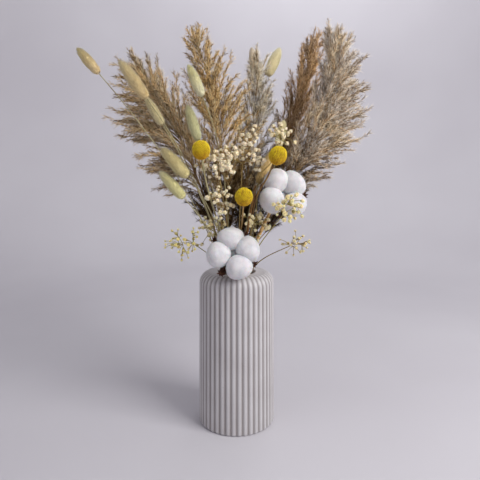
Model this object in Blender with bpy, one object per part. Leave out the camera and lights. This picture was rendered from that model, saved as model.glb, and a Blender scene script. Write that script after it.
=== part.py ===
"""Dried pampas grass bunch standing in a ribbed ceramic vase. Metres, +Z up.

The origin is the centre of the vase's underside, and the bunch faces -Y. Five plumes fan out at the back. In
front of them stand bunny tails, yellow globe flowers, two cotton bolls and sprays of small cream florets.
"""

import math
from collections import namedtuple

import bmesh
import bpy
import numpy as np
from mathutils import Matrix, Vector

# Vase: a straight ribbed wall, a round shoulder, and a plain open neck.
VASE_HEIGHT = 0.200
BASE_RADIUS = 0.050
SHOULDER_RADIUS = 0.0473
SHOULDER_ROUND = 0.014
FOOT_ROUND = 0.0035
MOUTH_RADIUS = 0.0235
LIP_WIDTH = 0.003
WALL = 0.0055
FLOOR = 0.007
RIBS = 42
RIB_DEPTH = 0.0016
RIB_TURN = math.radians(4.65)

# Stems: how they stand in the vase and how far they keep from each other.
SEAT_GAP = 0.0003
CLEAR = 0.0007
FOCUS_HEIGHT = 0.150
FOOT_SPREAD = 1.45
HALF_LEAN = 0.5
MOUTH_TILT = 0.55
NODES_BELOW_MOUTH = 2
NODES_ABOVE_MOUTH = 8
MOST_PUSH = 0.0005
PULL_HOME = 0.01

# Radii of the stems of each kind.
PLUME_STEM = 0.0016
PLUME_CORE = 0.0034
TAIL_STEM = 0.0007
GLOBE_STEM = 0.0010
COTTON_STEM = 0.0021
SPRAY_STEM = 0.0008
SPRAY_STALK = 0.0005

# A plume's branches thicken into fingers of spikelets.
BRANCH_ROOT = 0.0009
BRANCH_MIDDLE = 0.0015
FINGER = 0.0025
SIDE_FINGER = 0.0021
LONG_BRANCH = 0.085

# Flower heads.
GLOBE_RADIUS = 0.0096
GLOBE_BUMP = 0.0009
FLORET_RADIUS = 0.0032
LOBE_OFFSET = 0.0192
LOBE_AXES = (0.0124, 0.0158, 0.0146)
CORE_RADIUS = 0.0095
CORE_BACK = 0.0040
HUSK_BACK = 0.0165
HUSK_STALK = 0.0070
HUSK_GAP = 0.0004
HUSK_REACH = 0.0305
HUSK_WIDTH = 0.0100
HUSK_THICK = 0.0016
SHARP_ANGLE = 50

TAN = (0.47, 0.36, 0.23)
UMBER = (0.36, 0.27, 0.17)
STRAW = (0.72, 0.64, 0.44)
CREAM = (0.86, 0.80, 0.66)
YELLOW = (0.83, 0.66, 0.06)
COTTON = (0.93, 0.92, 0.92)
BARK = (0.42, 0.28, 0.15)
HUSK = (0.16, 0.08, 0.05)
REED_GREEN = (0.50, 0.49, 0.33)
GLAZE = (0.86, 0.84, 0.83)

# A plume's stem ends at tip, pointing along lean. Its branches start at this share of the stem above the mouth,
# spread from it by these degrees at its foot and at its tip, reach this far, and bend towards comb.
Plume = namedtuple("Plume", "name tip lean comb reach spread branches start colour seed")
PLUMES = (
    Plume("plume_left", tip=(-0.119, 0.005, 0.443), lean=(-0.67, 0, 0.80), comb=(-1.8, 0, -0.93), reach=0.096,
          spread=(28, 17), branches=39, start=0.36, colour=TAN, seed=1),
    Plume("plume_tall", tip=(-0.050, 0.030, 0.484), lean=(-0.40, 0, 0.96), comb=(0.77, 0, 0.37), reach=0.0885,
          spread=(48, 17), branches=34, start=0.21, colour=TAN, seed=2),
    Plume("plume_middle", tip=(0.028, 0.048, 0.465), lean=(0.05, 0, 1.0), comb=(0.28, 0, 0.09), reach=0.074,
          spread=(23, 19), branches=25, start=0.22, colour=TAN, seed=3),
    Plume("plume_dark", tip=(0.099, 0.060, 0.486), lean=(0.13, 0, 0.97), comb=(0.02, 0, 0.45), reach=0.089,
          spread=(14, 17), branches=29, start=0.28, colour=UMBER, seed=4),
    Plume("plume_right", tip=(0.113, -0.005, 0.471), lean=(-0.21, 0, 0.98), comb=(1.39, 0, -0.10), reach=0.0955,
          spread=(24, 9), branches=42, start=0.34, colour=TAN, seed=5),
)

# A bunny tail's head, from where its stem ends to its tip, and its thickness.
Tail = namedtuple("Tail", "base tip radius")
TAILS = (
    Tail((-0.154, -0.035, 0.435), (-0.176, -0.035, 0.461), 0.0062),
    Tail((-0.097, -0.054, 0.405), (-0.124, -0.057, 0.443), 0.0066),
    Tail((-0.085, -0.027, 0.379), (-0.103, -0.027, 0.409), 0.0054),
    Tail((-0.038, -0.034, 0.410), (-0.053, -0.034, 0.443), 0.0062),
    Tail((-0.044, -0.026, 0.361), (-0.056, -0.024, 0.400), 0.0064),
    Tail((-0.054, -0.055, 0.320), (-0.081, -0.058, 0.351), 0.0076),
    Tail((-0.059, -0.050, 0.296), (-0.084, -0.055, 0.325), 0.0066),
    Tail((0.041, 0.074, 0.450), (0.057, 0.076, 0.485), 0.0085),
    Tail((0.026, 0.070, 0.454), (0.020, 0.073, 0.485), 0.0065),
    Tail((0.052, 0.005, 0.354), (0.058, 0.008, 0.386), 0.0060),
    Tail((0.026, -0.014, 0.311), (0.043, -0.014, 0.349), 0.0058),
)

# A globe flower's centre and the direction from its stem into it.
Globe = namedtuple("Globe", "centre lean")
GLOBES = (
    Globe((-0.039, -0.052, 0.350), (-0.10, -0.10, 0.99)),
    Globe((0.047, -0.048, 0.344), (0.45, -0.10, 0.90)),
    Globe((0.0088, -0.052, 0.2977), (0.05, -0.50, 0.86)),
)

# A cotton boll's centre, the way it faces, the angles that its lobes lie at, and how its stem arrives.
Boll = namedtuple("Boll", "name centre face lobes stem_way")
BOLLS = (
    Boll("front", (-0.0035, -0.046, 0.2315), (0.02, -0.93, 0.37), (184, 100, 15, -68), (-0.05, -0.70, 0.71)),
    Boll("side", (0.0563, -0.028, 0.3000), (0.30, -0.90, 0.30), (118, 42, 206, -50), (0.45, -0.25, 0.85)),
)

# A bare cotton branch behind the front boll.
TWIG_TIP = (0.024, -0.006, 0.308)
TWIG_WAY = (0.20, 0, 0.98)

# A spray's cloud of florets: its centre, half sizes, and how many florets it holds.
Spray = namedtuple("Spray", "centre half florets seed")
SPRAYS = (
    Spray((-0.0219, -0.040, 0.3346), (0.014, 0.013, 0.011), 13, 11),
    Spray((0.0079, -0.032, 0.3482), (0.023, 0.016, 0.022), 16, 12),
    Spray((0.0500, -0.028, 0.3630), (0.011, 0.010, 0.011), 6, 13),
    Spray((-0.0232, -0.045, 0.2903), (0.015, 0.011, 0.014), 8, 14),
    Spray((0.0198, -0.033, 0.2620), (0.017, 0.011, 0.022), 8, 15),
    Spray((0.0581, -0.062, 0.2850), (0.015, 0.008, 0.012), 8, 16),
    Spray((-0.0625, -0.030, 0.2471), (0.017, 0.013, 0.023), 11, 17),
    Spray((0.0703, -0.040, 0.2427), (0.013, 0.011, 0.010), 7, 18),
    Spray((-0.0267, -0.027, 0.2575), (0.013, 0.010, 0.012), 7, 19),
)


def clear_scene():
    for obj in list(bpy.data.objects):
        bpy.data.objects.remove(obj, do_unlink=True)


def unit(vector):
    vector = np.asarray(vector, float)
    return vector / np.linalg.norm(vector)


# Paths and the space they fill


def hermite(start, end, start_way, end_way, count):
    """A cubic from start to end that leaves along start_way and arrives along end_way."""
    start, end = np.asarray(start, float), np.asarray(end, float)
    reach = np.linalg.norm(end - start)
    t = np.linspace(0, 1, count + 1)[:, None]
    return (
        (2 * t**3 - 3 * t**2 + 1) * start
        + (t**3 - 2 * t**2 + t) * reach * unit(start_way)
        + (3 * t**2 - 2 * t**3) * end
        + (t**3 - t**2) * reach * unit(end_way)
    )


def stem_path(end, end_way, aim):
    """A stem from the vase's floor to end. It crosses the mouth on the side that it leans to."""
    lean = np.array(aim[:2]) / (aim[2] - FOCUS_HEIGHT)
    mouth = MOUTH_RADIUS * lean / math.hypot(*lean, HALF_LEAN)
    at_mouth = np.array([*mouth, VASE_HEIGHT])
    at_floor = np.array([*(mouth * FOOT_SPREAD), FLOOR + SEAT_GAP])
    through = np.array([*(MOUTH_TILT * lean), 1.0])
    below = hermite(at_floor, at_mouth, (0, 0, 1), through, NODES_BELOW_MOUTH)
    above = hermite(at_mouth, end, through, end_way, NODES_ABOVE_MOUTH)
    return np.vstack([below, above[1:]])


def nearest(starts, ends, other_starts, other_ends):
    """For every pair of segments, their nearest points."""
    along, other = (ends - starts)[:, None], (other_ends - other_starts)[None]
    between = starts[:, None] - other_starts[None]
    a = np.maximum((along**2).sum(2), 1e-12)
    e = np.maximum((other**2).sum(2), 1e-12)
    b, c, f = (along * other).sum(2), (along * between).sum(2), (other * between).sum(2)
    spread = a * e - b * b
    s = np.where(spread > 1e-14, (b * f - c * e) / np.maximum(spread, 1e-14), 0)
    t = np.clip((b * np.clip(s, 0, 1) + f) / e, 0, 1)
    s = np.clip((b * t - c) / a, 0, 1)
    return starts[:, None] + along * s[..., None], other_starts[None] + other * t[..., None]


class Space:
    """What each finished piece fills, as round-ended segments, so that the next one can grow clear of it."""

    def __init__(self):
        self.starts, self.ends = np.zeros((0, 3)), np.zeros((0, 3))
        self.radii, self.owners = np.zeros(0), np.zeros(0, int)

    def add(self, owner, points, radii):
        points, radii = np.asarray(points, float), np.asarray(radii, float)
        self.starts = np.vstack([self.starts, points[:-1]])
        self.ends = np.vstack([self.ends, points[1:]])
        self.radii = np.append(self.radii, np.maximum(radii[:-1], radii[1:]))
        self.owners = np.append(self.owners, np.full(len(points) - 1, owner))

    def gap(self, owner, points, radii):
        """The least free distance from this path to anything that another piece fills."""
        others = self.owners != owner
        points, radii = np.asarray(points, float), np.asarray(radii, float)
        thick = np.maximum(radii[:-1], radii[1:])
        here, there = nearest(points[:-1], points[1:], self.starts[others], self.ends[others])
        return (np.linalg.norm(here - there, axis=2) - thick[:, None] - self.radii[others]).min()


def part_stems(paths, radii, heads, rounds=240):
    """Pushes stems apart, and clear of the heads, but for the last two nodes of each."""
    homes, paths = paths, [path.copy() for path in paths]
    owner = np.repeat(np.arange(len(paths)), [len(path) - 1 for path in paths])
    place = np.concatenate([np.arange(len(path) - 1) for path in paths])
    thick = np.concatenate([np.maximum(r[:-1], r[1:]) for r in radii])
    own = owner[:, None] == np.append(owner, heads.owners)[None]
    for _ in range(rounds):
        starts = np.vstack([path[:-1] for path in paths])
        ends = np.vstack([path[1:] for path in paths])
        here, there = nearest(starts, ends, np.vstack([starts, heads.starts]), np.vstack([ends, heads.ends]))
        distance = np.linalg.norm(here - there, axis=2)
        wanted = thick[:, None] + np.append(thick, heads.radii)[None] + CLEAR
        short = np.where(own, 0, np.maximum(wanted - distance, 0))
        if short.max() < 1e-5:
            break
        push = ((here - there) / np.maximum(distance, 1e-6)[..., None] * short[..., None]).sum(1) * 0.6
        push *= np.minimum(1, MOST_PUSH / np.maximum(np.linalg.norm(push, axis=1), 1e-9))[:, None]
        for index, path in enumerate(paths):
            mine = owner == index
            moved = np.zeros_like(path)
            moved[place[mine]] += push[mine]
            moved[place[mine] + 1] += push[mine]
            moved[1:-1] = 0.25 * moved[:-2] + 0.5 * moved[1:-1] + 0.25 * moved[2:]
            moved += PULL_HOME * (homes[index] - path)
            moved[-2:] = 0
            moved[: NODES_BELOW_MOUTH + 1, 2] = 0
            path += moved
            keep_inside(path, radii[index][0])
    return paths


def keep_inside(path, radius):
    """Holds the nodes at and below the mouth inside the vase."""
    rooms = np.full(NODES_BELOW_MOUTH + 1, SHOULDER_RADIUS - RIB_DEPTH - WALL)
    rooms[-1] = MOUTH_RADIUS
    rooms[-2] = 0.5 * (MOUTH_RADIUS + rooms[0])
    out = np.linalg.norm(path[: len(rooms), :2], axis=1)
    most = rooms - radius - 2 * CLEAR
    path[: len(rooms), :2] *= np.minimum(1, most / np.maximum(out, 1e-9))[:, None]


# Meshes, as (points, faces)


def frames_along(points):
    """Two directions across the path at each point, turned as little as possible from one to the next."""
    points = np.asarray(points, float)
    ways = np.gradient(points, axis=0)
    ways /= np.linalg.norm(ways, axis=1)[:, None]
    side = np.cross(ways[0], (1.0, 0.13, 0.07) if abs(ways[0][0]) < 0.8 else (0.0, 1.0, 0.1))
    sides = []
    for way in ways:
        side = unit(side - way * (side @ way))
        sides.append(side)
    sides = np.array(sides)
    return sides, np.cross(ways, sides)


def tube(points, radii, sides):
    """A closed tube. Where an end's radius is 0 it runs to a point."""
    points = np.asarray(points, float)
    across, up = frames_along(points)
    verts, rings = [], []
    for centre, radius, x, y in zip(points, radii, across, up):
        ring = []
        for k in range(sides if radius > 0 else 1):
            angle = 2 * math.pi * k / sides
            ring.append(len(verts))
            verts.append(centre + radius * (math.cos(angle) * x + math.sin(angle) * y))
        rings.append(ring)
    faces = []
    for low, high in zip(rings, rings[1:]):
        for k in range(sides):
            a, b = low[k % len(low)], low[(k + 1) % len(low)]
            c, d = high[(k + 1) % len(high)], high[k % len(high)]
            faces.append([v for n, v in enumerate((a, b, c, d)) if v not in (a, b, c, d)[:n]])
    if len(rings[0]) > 1:
        faces.append(rings[0][::-1])
    if len(rings[-1]) > 1:
        faces.append(rings[-1])
    return verts, faces


def from_bmesh(bm, matrix=None):
    if matrix is not None:
        bm.transform(matrix)
    bm.verts.index_update()
    made = [np.array(v.co) for v in bm.verts], [[v.index for v in f.verts] for f in bm.faces]
    bm.free()
    return made


def placed(centre, axis, spin_way=(0, 0, 1)):
    """A matrix whose Z is axis, with its X as near spin_way as it can be, at centre."""
    z = unit(axis)
    x = unit(np.asarray(spin_way, float) - z * (np.asarray(spin_way, float) @ z))
    matrix = Matrix(np.column_stack([x, np.cross(z, x), z]).tolist()).to_4x4()
    matrix.translation = Vector(centre)
    return matrix


def ball(centre, axes, matrix=None, segments=10, rings=6):
    bm = bmesh.new()
    bmesh.ops.create_uvsphere(bm, u_segments=segments, v_segments=rings, radius=1)
    size = Matrix.Diagonal((*axes, 1))
    return from_bmesh(bm, (matrix or Matrix.Translation(centre)) @ size)


def floret_bud(centre, radius, turn):
    """An eight-sided bud, turned so that no two beside each other look alike."""
    axis = Vector((math.cos(turn), math.sin(turn), 0.5)).normalized()
    matrix = Matrix.Translation(centre) @ Matrix.Rotation(turn, 4, axis)
    corners = radius * np.vstack([np.eye(3), -np.eye(3)])
    faces = [[x, y, z] for x in (0, 3) for y in (1, 4) for z in (2, 5)]
    return [np.array(matrix @ Vector(corner)) for corner in corners], faces


def studded_ball(centre, axis):
    """A globe flower: a ball with each face of its net raised to a low stud, as its florets are."""
    bm = bmesh.new()
    bmesh.ops.create_icosphere(bm, subdivisions=2, radius=GLOBE_RADIUS)
    poked = bmesh.ops.poke(bm, faces=bm.faces[:])
    for vert in poked["verts"]:
        vert.co = vert.co.normalized() * (GLOBE_RADIUS + GLOBE_BUMP)
    return from_bmesh(bm, placed(centre, axis) @ Matrix.Diagonal((1, 1, 1.08, 1)))


def tufted_head(base, tip, radius, columns=8, rows=8):
    """A bunny tail's head: an egg on a flat foot, with every second point of its net drawn out and up."""
    length = np.linalg.norm(np.subtract(tip, base))
    verts, rings = [], []
    for i in range(rows):
        u = i / rows
        swell = math.sin(math.pi * (0.12 + 0.88 * u) ** 0.85) ** 0.55
        ring = []
        for j in range(columns):
            tuft = (i + j) % 2 if 0 < i else 0
            angle = 2 * math.pi * j / columns
            out = radius * swell * (0.86 + 0.26 * tuft)
            ring.append(len(verts))
            verts.append((out * math.cos(angle), out * math.sin(angle), length * (u + 0.07 * tuft)))
        rings.append(ring)
    top = len(verts)
    verts.append((0, 0, length * 1.04))
    faces = [rings[0][::-1]]
    for low, high in zip(rings, rings[1:]):
        for k in range(columns):
            a, b, c, d = low[k], low[(k + 1) % columns], high[(k + 1) % columns], high[k]
            if (rings.index(low) + k) % 2:
                faces += [[a, b, c], [a, c, d]]
            else:
                faces += [[a, b, d], [b, c, d]]
    faces += [[rings[-1][k], rings[-1][(k + 1) % columns], top] for k in range(columns)]
    matrix = placed(base, np.subtract(tip, base), (1, 0, 0.2))
    return [np.array(matrix @ Vector(v)) for v in verts], faces


def blade(points, widths, thick, flat_way):
    """A pointed husk valve: a diamond section carried along points, wide across flat_way."""
    points = np.asarray(points, float)
    ways = np.gradient(points, axis=0)
    verts, faces = [], []
    for centre, way, width in zip(points, ways, widths):
        side = unit(np.cross(way, flat_way))
        normal = unit(np.cross(side, way))
        for offset in (side * width / 2, normal * thick / 2, -side * width / 2, -normal * thick / 2):
            verts.append(centre + offset)
    for ring in range(len(points) - 1):
        for k in range(4):
            a, b = 4 * ring + k, 4 * ring + (k + 1) % 4
            faces.append([a, b, b + 4, a + 4])
    faces += [[3, 2, 1, 0], [len(verts) - 4, len(verts) - 3, len(verts) - 2, len(verts) - 1]]
    return verts, faces


# Nodes


def material(name, colour, roughness):
    made = bpy.data.materials.get(name) or bpy.data.materials.new(name)
    made.use_nodes = True
    shader = made.node_tree.nodes["Principled BSDF"]
    shader.inputs["Base Color"].default_value = (*colour, 1)
    shader.inputs["Roughness"].default_value = roughness
    shader.inputs["Metallic"].default_value = 0
    made.diffuse_color = (*colour, 1)
    return made


def finish(obj, name, colour, roughness):
    obj.data.materials.clear()
    obj.data.materials.append(material(name, colour, roughness))
    obj.data.shade_smooth()
    obj.data.set_sharp_from_angle(angle=math.radians(SHARP_ANGLE))


def outward(mesh):
    bm = bmesh.new()
    bm.from_mesh(mesh)
    bmesh.ops.recalc_face_normals(bm, faces=bm.faces)
    bm.to_mesh(mesh)
    bm.free()


def add_object(name, piece, collection=None):
    mesh = bpy.data.meshes.new(name)
    mesh.from_pydata([tuple(v) for v in piece[0]], [], piece[1])
    outward(mesh)
    obj = bpy.data.objects.new(name, mesh)
    (collection or bpy.context.scene.collection).objects.link(obj)
    return obj


def boolean(obj, pieces, operation):
    """Joins or cuts obj with all the pieces at once, and leaves only obj."""
    tools = bpy.data.collections.new("tools")
    bpy.context.scene.collection.children.link(tools)
    for index, piece in enumerate(pieces):
        add_object(f"tool_{index}", piece, tools)
    modifier = obj.modifiers.new("join", "BOOLEAN")
    modifier.operation = operation
    modifier.operand_type = "COLLECTION"
    modifier.collection = tools
    modifier.solver = "MANIFOLD"
    bpy.context.view_layer.update()
    done = bpy.data.meshes.new_from_object(obj.evaluated_get(bpy.context.evaluated_depsgraph_get()))
    obj.modifiers.clear()
    obj.data = done
    for tool in list(tools.objects):
        bpy.data.objects.remove(tool, do_unlink=True)
    bpy.data.collections.remove(tools)


def drop_scraps(obj):
    """Leaves only the largest body of the mesh."""
    bm = bmesh.new()
    bm.from_mesh(obj.data)
    left, bodies = set(bm.verts), []
    while left:
        body, edge = set(), [left.pop()]
        while edge:
            vert = edge.pop()
            body.add(vert)
            near = {e.other_vert(vert) for e in vert.link_edges} & left
            left -= near
            edge += near
        bodies.append(body)
    bodies.sort(key=len)
    bmesh.ops.delete(bm, geom=[vert for body in bodies[:-1] for vert in body], context="VERTS")
    bm.to_mesh(obj.data)
    bm.free()


def add_node(name, pieces, look):
    """One node: the first piece, with the others fused to it."""
    obj = add_object(name, pieces[0])
    if len(pieces) > 1:
        boolean(obj, pieces[1:], "UNION")
    finish(obj, *look)
    return obj


# Vase


def vase_rows():
    """The outer profile, from the foot up, as (radius, height, rib strength), and the inner one, down."""
    corner = SHOULDER_RADIUS - SHOULDER_ROUND
    shoulder = VASE_HEIGHT - SHOULDER_ROUND
    outer = [(BASE_RADIUS - FOOT_ROUND, 0, 0), (BASE_RADIUS, FOOT_ROUND, 1), (SHOULDER_RADIUS, shoulder, 1)]
    for degrees, strength in ((38, 1), (74, 0.7)):
        angle = math.radians(degrees)
        radius = corner + SHOULDER_ROUND * math.cos(angle)
        outer.append((radius, shoulder + SHOULDER_ROUND * math.sin(angle), strength))
    outer.append((MOUTH_RADIUS + LIP_WIDTH, VASE_HEIGHT, 0))
    inside = SHOULDER_RADIUS - RIB_DEPTH - WALL
    inner = [
        (MOUTH_RADIUS, VASE_HEIGHT - LIP_WIDTH / 3),
        (MOUTH_RADIUS, VASE_HEIGHT - WALL - 0.002),
        (inside - 0.008, VASE_HEIGHT - WALL - 0.006),
        (inside, shoulder - 0.004),
        (inside, FLOOR + 0.003),
        (inside - 0.004, FLOOR),
    ]
    return outer, inner


def add_vase():
    outer, inner = vase_rows()
    per_rib = 3
    columns = RIBS * per_rib
    verts, faces = [], []
    for radius, height, strength in outer:
        for j in range(columns):
            out = radius - (RIB_DEPTH * strength if j % per_rib == 0 else 0)
            angle = RIB_TURN + 2 * math.pi * j / columns
            verts.append((out * math.cos(angle), out * math.sin(angle), height))
    for row in range(len(outer) - 1):
        for j in range(columns):
            a, b = row * columns + j, row * columns + (j + 1) % columns
            faces.append([a, b, b + columns, a + columns])
    faces.append(list(range(columns))[::-1])
    first = len(verts)
    for radius, height in inner:
        for j in range(RIBS):
            angle = RIB_TURN + 2 * math.pi * j / RIBS
            verts.append((radius * math.cos(angle), radius * math.sin(angle), height))
    lip = (len(outer) - 1) * columns
    for j in range(RIBS):
        a, b = first + j, first + (j + 1) % RIBS
        rim = [lip + (j * per_rib + k) % columns for k in range(per_rib + 1)]
        faces += [[rim[0], rim[1], a], [rim[1], rim[2], b, a], [rim[2], rim[3], b]]
    for row in range(len(inner) - 1):
        for j in range(RIBS):
            a, b = first + row * RIBS + j, first + row * RIBS + (j + 1) % RIBS
            faces.append([a, b, b + RIBS, a + RIBS])
    faces.append(list(range(len(verts) - RIBS, len(verts))))
    finish(add_object("vase", (verts, faces)), "matt glaze", GLAZE, 0.55)


# Cotton


def boll_frame(boll):
    """The way the boll faces, and right and up as seen from in front of it."""
    face = unit(boll.face)
    right = unit(np.cross((0, 0, 1), face))
    return face, right, np.cross(face, right)


def around(boll, degrees):
    """The direction out from the boll's centre at this angle."""
    _, right, up = boll_frame(boll)
    return math.cos(math.radians(degrees)) * right + math.sin(math.radians(degrees)) * up


def lobe_centres(boll):
    return [np.array(boll.centre) + LOBE_OFFSET * around(boll, degrees) for degrees in boll.lobes]


def lobe_pieces(boll, grow=0.0):
    """The lobes, each wide across its own direction from the centre, and the core of lint that joins them."""
    face = unit(boll.face)
    pieces = []
    for centre, degrees in zip(lobe_centres(boll), boll.lobes):
        out = around(boll, degrees)
        matrix = Matrix(np.column_stack([out, np.cross(face, out), face]).tolist()).to_4x4()
        matrix.translation = Vector(centre)
        pieces.append(ball(centre, [a + grow for a in LOBE_AXES], matrix))
    core = np.array(boll.centre) - face * CORE_BACK
    pieces.append(ball(core, [CORE_RADIUS + grow] * 3, segments=6, rings=5))
    return pieces


def husk_back(boll):
    return np.array(boll.centre) - unit(boll.face) * HUSK_BACK


def stalk_end(boll):
    return husk_back(boll) - unit(boll.stem_way) * HUSK_STALK


def husk_pieces(boll):
    """The dry husk: a cup on a stalk behind the lobes, with a pointed valve in each gap between them."""
    face = unit(boll.face)
    back = husk_back(boll)
    pieces = [tube([stalk_end(boll), back, back + face * 0.005], [COTTON_STEM, 0.0085, 0.0100], 8)]
    turns = sorted(angle % 360 for angle in boll.lobes)
    for this, following in zip(turns, turns[1:] + [turns[0] + 360]):
        out = around(boll, (this + following) / 2)
        points = [
            back + out * 0.004,
            back + out * 0.0165 - face * 0.0005,
            back + out * HUSK_REACH * 0.82 + face * 0.0085,
            back + out * HUSK_REACH + face * 0.0165,
        ]
        pieces.append(blade(points, [0.006, HUSK_WIDTH, 0.0075, 0.0012], HUSK_THICK, face))
    return pieces


def add_cotton(boll, path):
    add_node(f"cotton_stem_{boll.name}", [tube(path, [COTTON_STEM] * len(path), 6)], ("bark", BARK, 0.8))
    add_node(f"cotton_lobes_{boll.name}", lobe_pieces(boll), ("cotton", COTTON, 1.0))
    husk = add_node(f"cotton_husk_{boll.name}", husk_pieces(boll), ("husk", HUSK, 0.75))
    boolean(husk, lobe_pieces(boll, HUSK_GAP), "DIFFERENCE")
    drop_scraps(husk)


# Sprays of small florets


def over_vase(spot):
    margin = 2 * FLORET_RADIUS
    return spot[2] > VASE_HEIGHT + margin or math.hypot(spot[0], spot[1]) > BASE_RADIUS + margin


def grow_spray(spray, path, space, owner):
    """Florets at seeded places in the spray's cloud, each on a stalk from the nearest fork below it."""
    rng = np.random.default_rng(spray.seed)
    centre, half = np.array(spray.centre), np.array(spray.half)
    pieces = [tube(path, [SPRAY_STEM] * (len(path) - 1) + [SPRAY_STALK], 3)]
    forks = list(path[-3:])
    florets = []
    for _ in range(spray.florets * 60):
        if len(florets) == spray.florets:
            break
        spot = centre + half * unit(rng.normal(size=3)) * rng.uniform(0.35, 1.0) ** 0.5
        if florets and min(np.linalg.norm(spot - f) for f in florets) < 2.1 * FLORET_RADIUS:
            continue
        fork = min(forks, key=lambda q: np.linalg.norm(spot - q) + 0.5 * np.linalg.norm(q - path[-1]))
        stalk, floret = [fork, spot], [spot, spot + 1e-5]
        free = space.gap(owner, stalk, [SPRAY_STALK] * 2) > CLEAR
        if not free or not over_vase(spot) or space.gap(owner, floret, [FLORET_RADIUS] * 2) < CLEAR:
            continue
        florets.append(spot)
        forks.append(0.5 * (fork + spot))
        pieces.append(tube(stalk, [SPRAY_STALK] * 2, 3))
        pieces.append(floret_bud(spot, FLORET_RADIUS * 1.15, 2.4 * len(florets)))
        space.add(owner, stalk, [SPRAY_STALK] * 2)
        space.add(owner, floret, [FLORET_RADIUS] * 2)
    return pieces


# Plumes


def run_marks(points):
    """How far along the path each point lies, from 0 to 1."""
    runs = np.append(0, np.cumsum(np.linalg.norm(np.diff(points, axis=0), axis=1)))
    return runs / runs[-1]


def at_mark(points, mark):
    """The point at this mark of the path."""
    marks = run_marks(points)
    return np.array([np.interp(mark, marks, points[:, i]) for i in range(3)])


def plume_radii(plume, path):
    """The stem's radius, and above the first branch that of the core which the branches stand out of."""
    marks = run_marks(path[NODES_BELOW_MOUTH:])
    above = [PLUME_STEM if mark < plume.start else PLUME_CORE * (1.15 - mark) for mark in marks]
    return np.array([PLUME_STEM] * NODES_BELOW_MOUTH + above)


def branch_path(root, way, out, comb, length):
    """A branch that leaves along way and bends as it goes, more so on the comb side."""
    comb = np.array(comb, float) * (0.5 + 0.5 * unit(comb) @ out)
    steps = 3 if length > LONG_BRANCH else 2
    points = [root]
    for step in range(steps):
        bend = way + comb * ((step + 0.5) / steps) ** 1.2
        points.append(points[-1] + unit(bend) * length / steps)
    return np.array(points)


def branch_radii(branch):
    middle = [BRANCH_MIDDLE] if len(branch) > 3 else []
    return np.array([BRANCH_ROOT, *middle, FINGER, 0.0])


def comb_at(plume, share):
    """How the branches at this share of the plume are combed: less and less towards its tip."""
    return np.array(plume.comb, float) * (1.25 - share)


def side_finger(branch, out, turn):
    """A short finger from the middle of a branch, to one side of it."""
    way = unit(branch[-1] - branch[-2])
    side = unit(np.cross(way, out) * turn + out * 0.4)
    root = 0.5 * (branch[-2] + branch[-3])
    tip = root + unit(way + 0.5 * side) * np.linalg.norm(branch[-1] - root) * 0.72
    return np.array([root, 0.45 * root + 0.55 * tip, tip])


def grow_plume(plume, path, space, owner):
    """Branches up the stem in a golden-angle spiral, each turned if something is in its way."""
    rng = np.random.default_rng(plume.seed)
    above = path[NODES_BELOW_MOUTH:]
    pieces = [tube(path, plume_radii(plume, path), 5)]
    for k in range(plume.branches):
        share = (k + 0.5) / plume.branches
        mark = plume.start + (0.97 - plume.start) * share
        root = at_mark(above, mark)
        stem_way = unit(at_mark(above, mark + 0.02) - root)
        x = unit(np.cross(stem_way, (0, 1, 0)))
        y = np.cross(stem_way, x)
        length = plume.reach * min(1, 0.62 + 1.2 * share) * (1 - 0.66 * share**1.7) * rng.uniform(0.86, 1.1)
        spread = math.radians(np.interp(share, (0, 1), plume.spread))
        turn = rng.choice((-1, 1))
        for attempt in range(10):
            angle = math.radians(137.5) * k + attempt * 0.35 * (-1) ** attempt
            out = math.cos(angle) * x + math.sin(angle) * y
            way = math.cos(spread) * stem_way + math.sin(spread) * out
            branch = branch_path(root, way, out, comb_at(plume, share), length * (1 - 0.05 * attempt))
            radii = branch_radii(branch)
            if space.gap(owner, branch, radii) < CLEAR:
                continue
            pieces.append(tube(branch, radii, 3))
            space.add(owner, branch, radii)
            finger = side_finger(branch, out, turn)
            radii = np.array([0.0, SIDE_FINGER, 0.0])
            if space.gap(owner, finger, radii) > CLEAR:
                pieces.append(tube(finger, radii, 3))
                space.add(owner, finger, radii)
            break
    return pieces


# The whole bunch


def head_space(owners):
    """The space that the tails' heads, the globes and the bolls fill, by the stem that carries each."""
    space = Space()
    for index, tail in enumerate(TAILS):
        space.add(owners["tail", index], [tail.base, tail.tip], [tail.radius * 1.12] * 2)
    for index, globe in enumerate(GLOBES):
        centre = np.array(globe.centre)
        space.add(owners["globe", index], [centre, centre + 1e-5], [GLOBE_RADIUS * 1.08 + GLOBE_BUMP] * 2)
    for index, boll in enumerate(BOLLS):
        owner = owners["boll", index]
        for place in lobe_centres(boll):
            space.add(owner, [place, place + 1e-5], [max(LOBE_AXES)] * 2)
        space.add(owner, [stalk_end(boll), husk_back(boll), boll.centre], [0.006, 0.010, 0.010])
        for valve in husk_pieces(boll)[1:]:
            line = np.array(valve[0]).reshape(-1, 4, 3).mean(1)
            space.add(owner, line, [HUSK_WIDTH / 2, HUSK_WIDTH / 2, HUSK_WIDTH / 2, 0.001])
    return space


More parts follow.
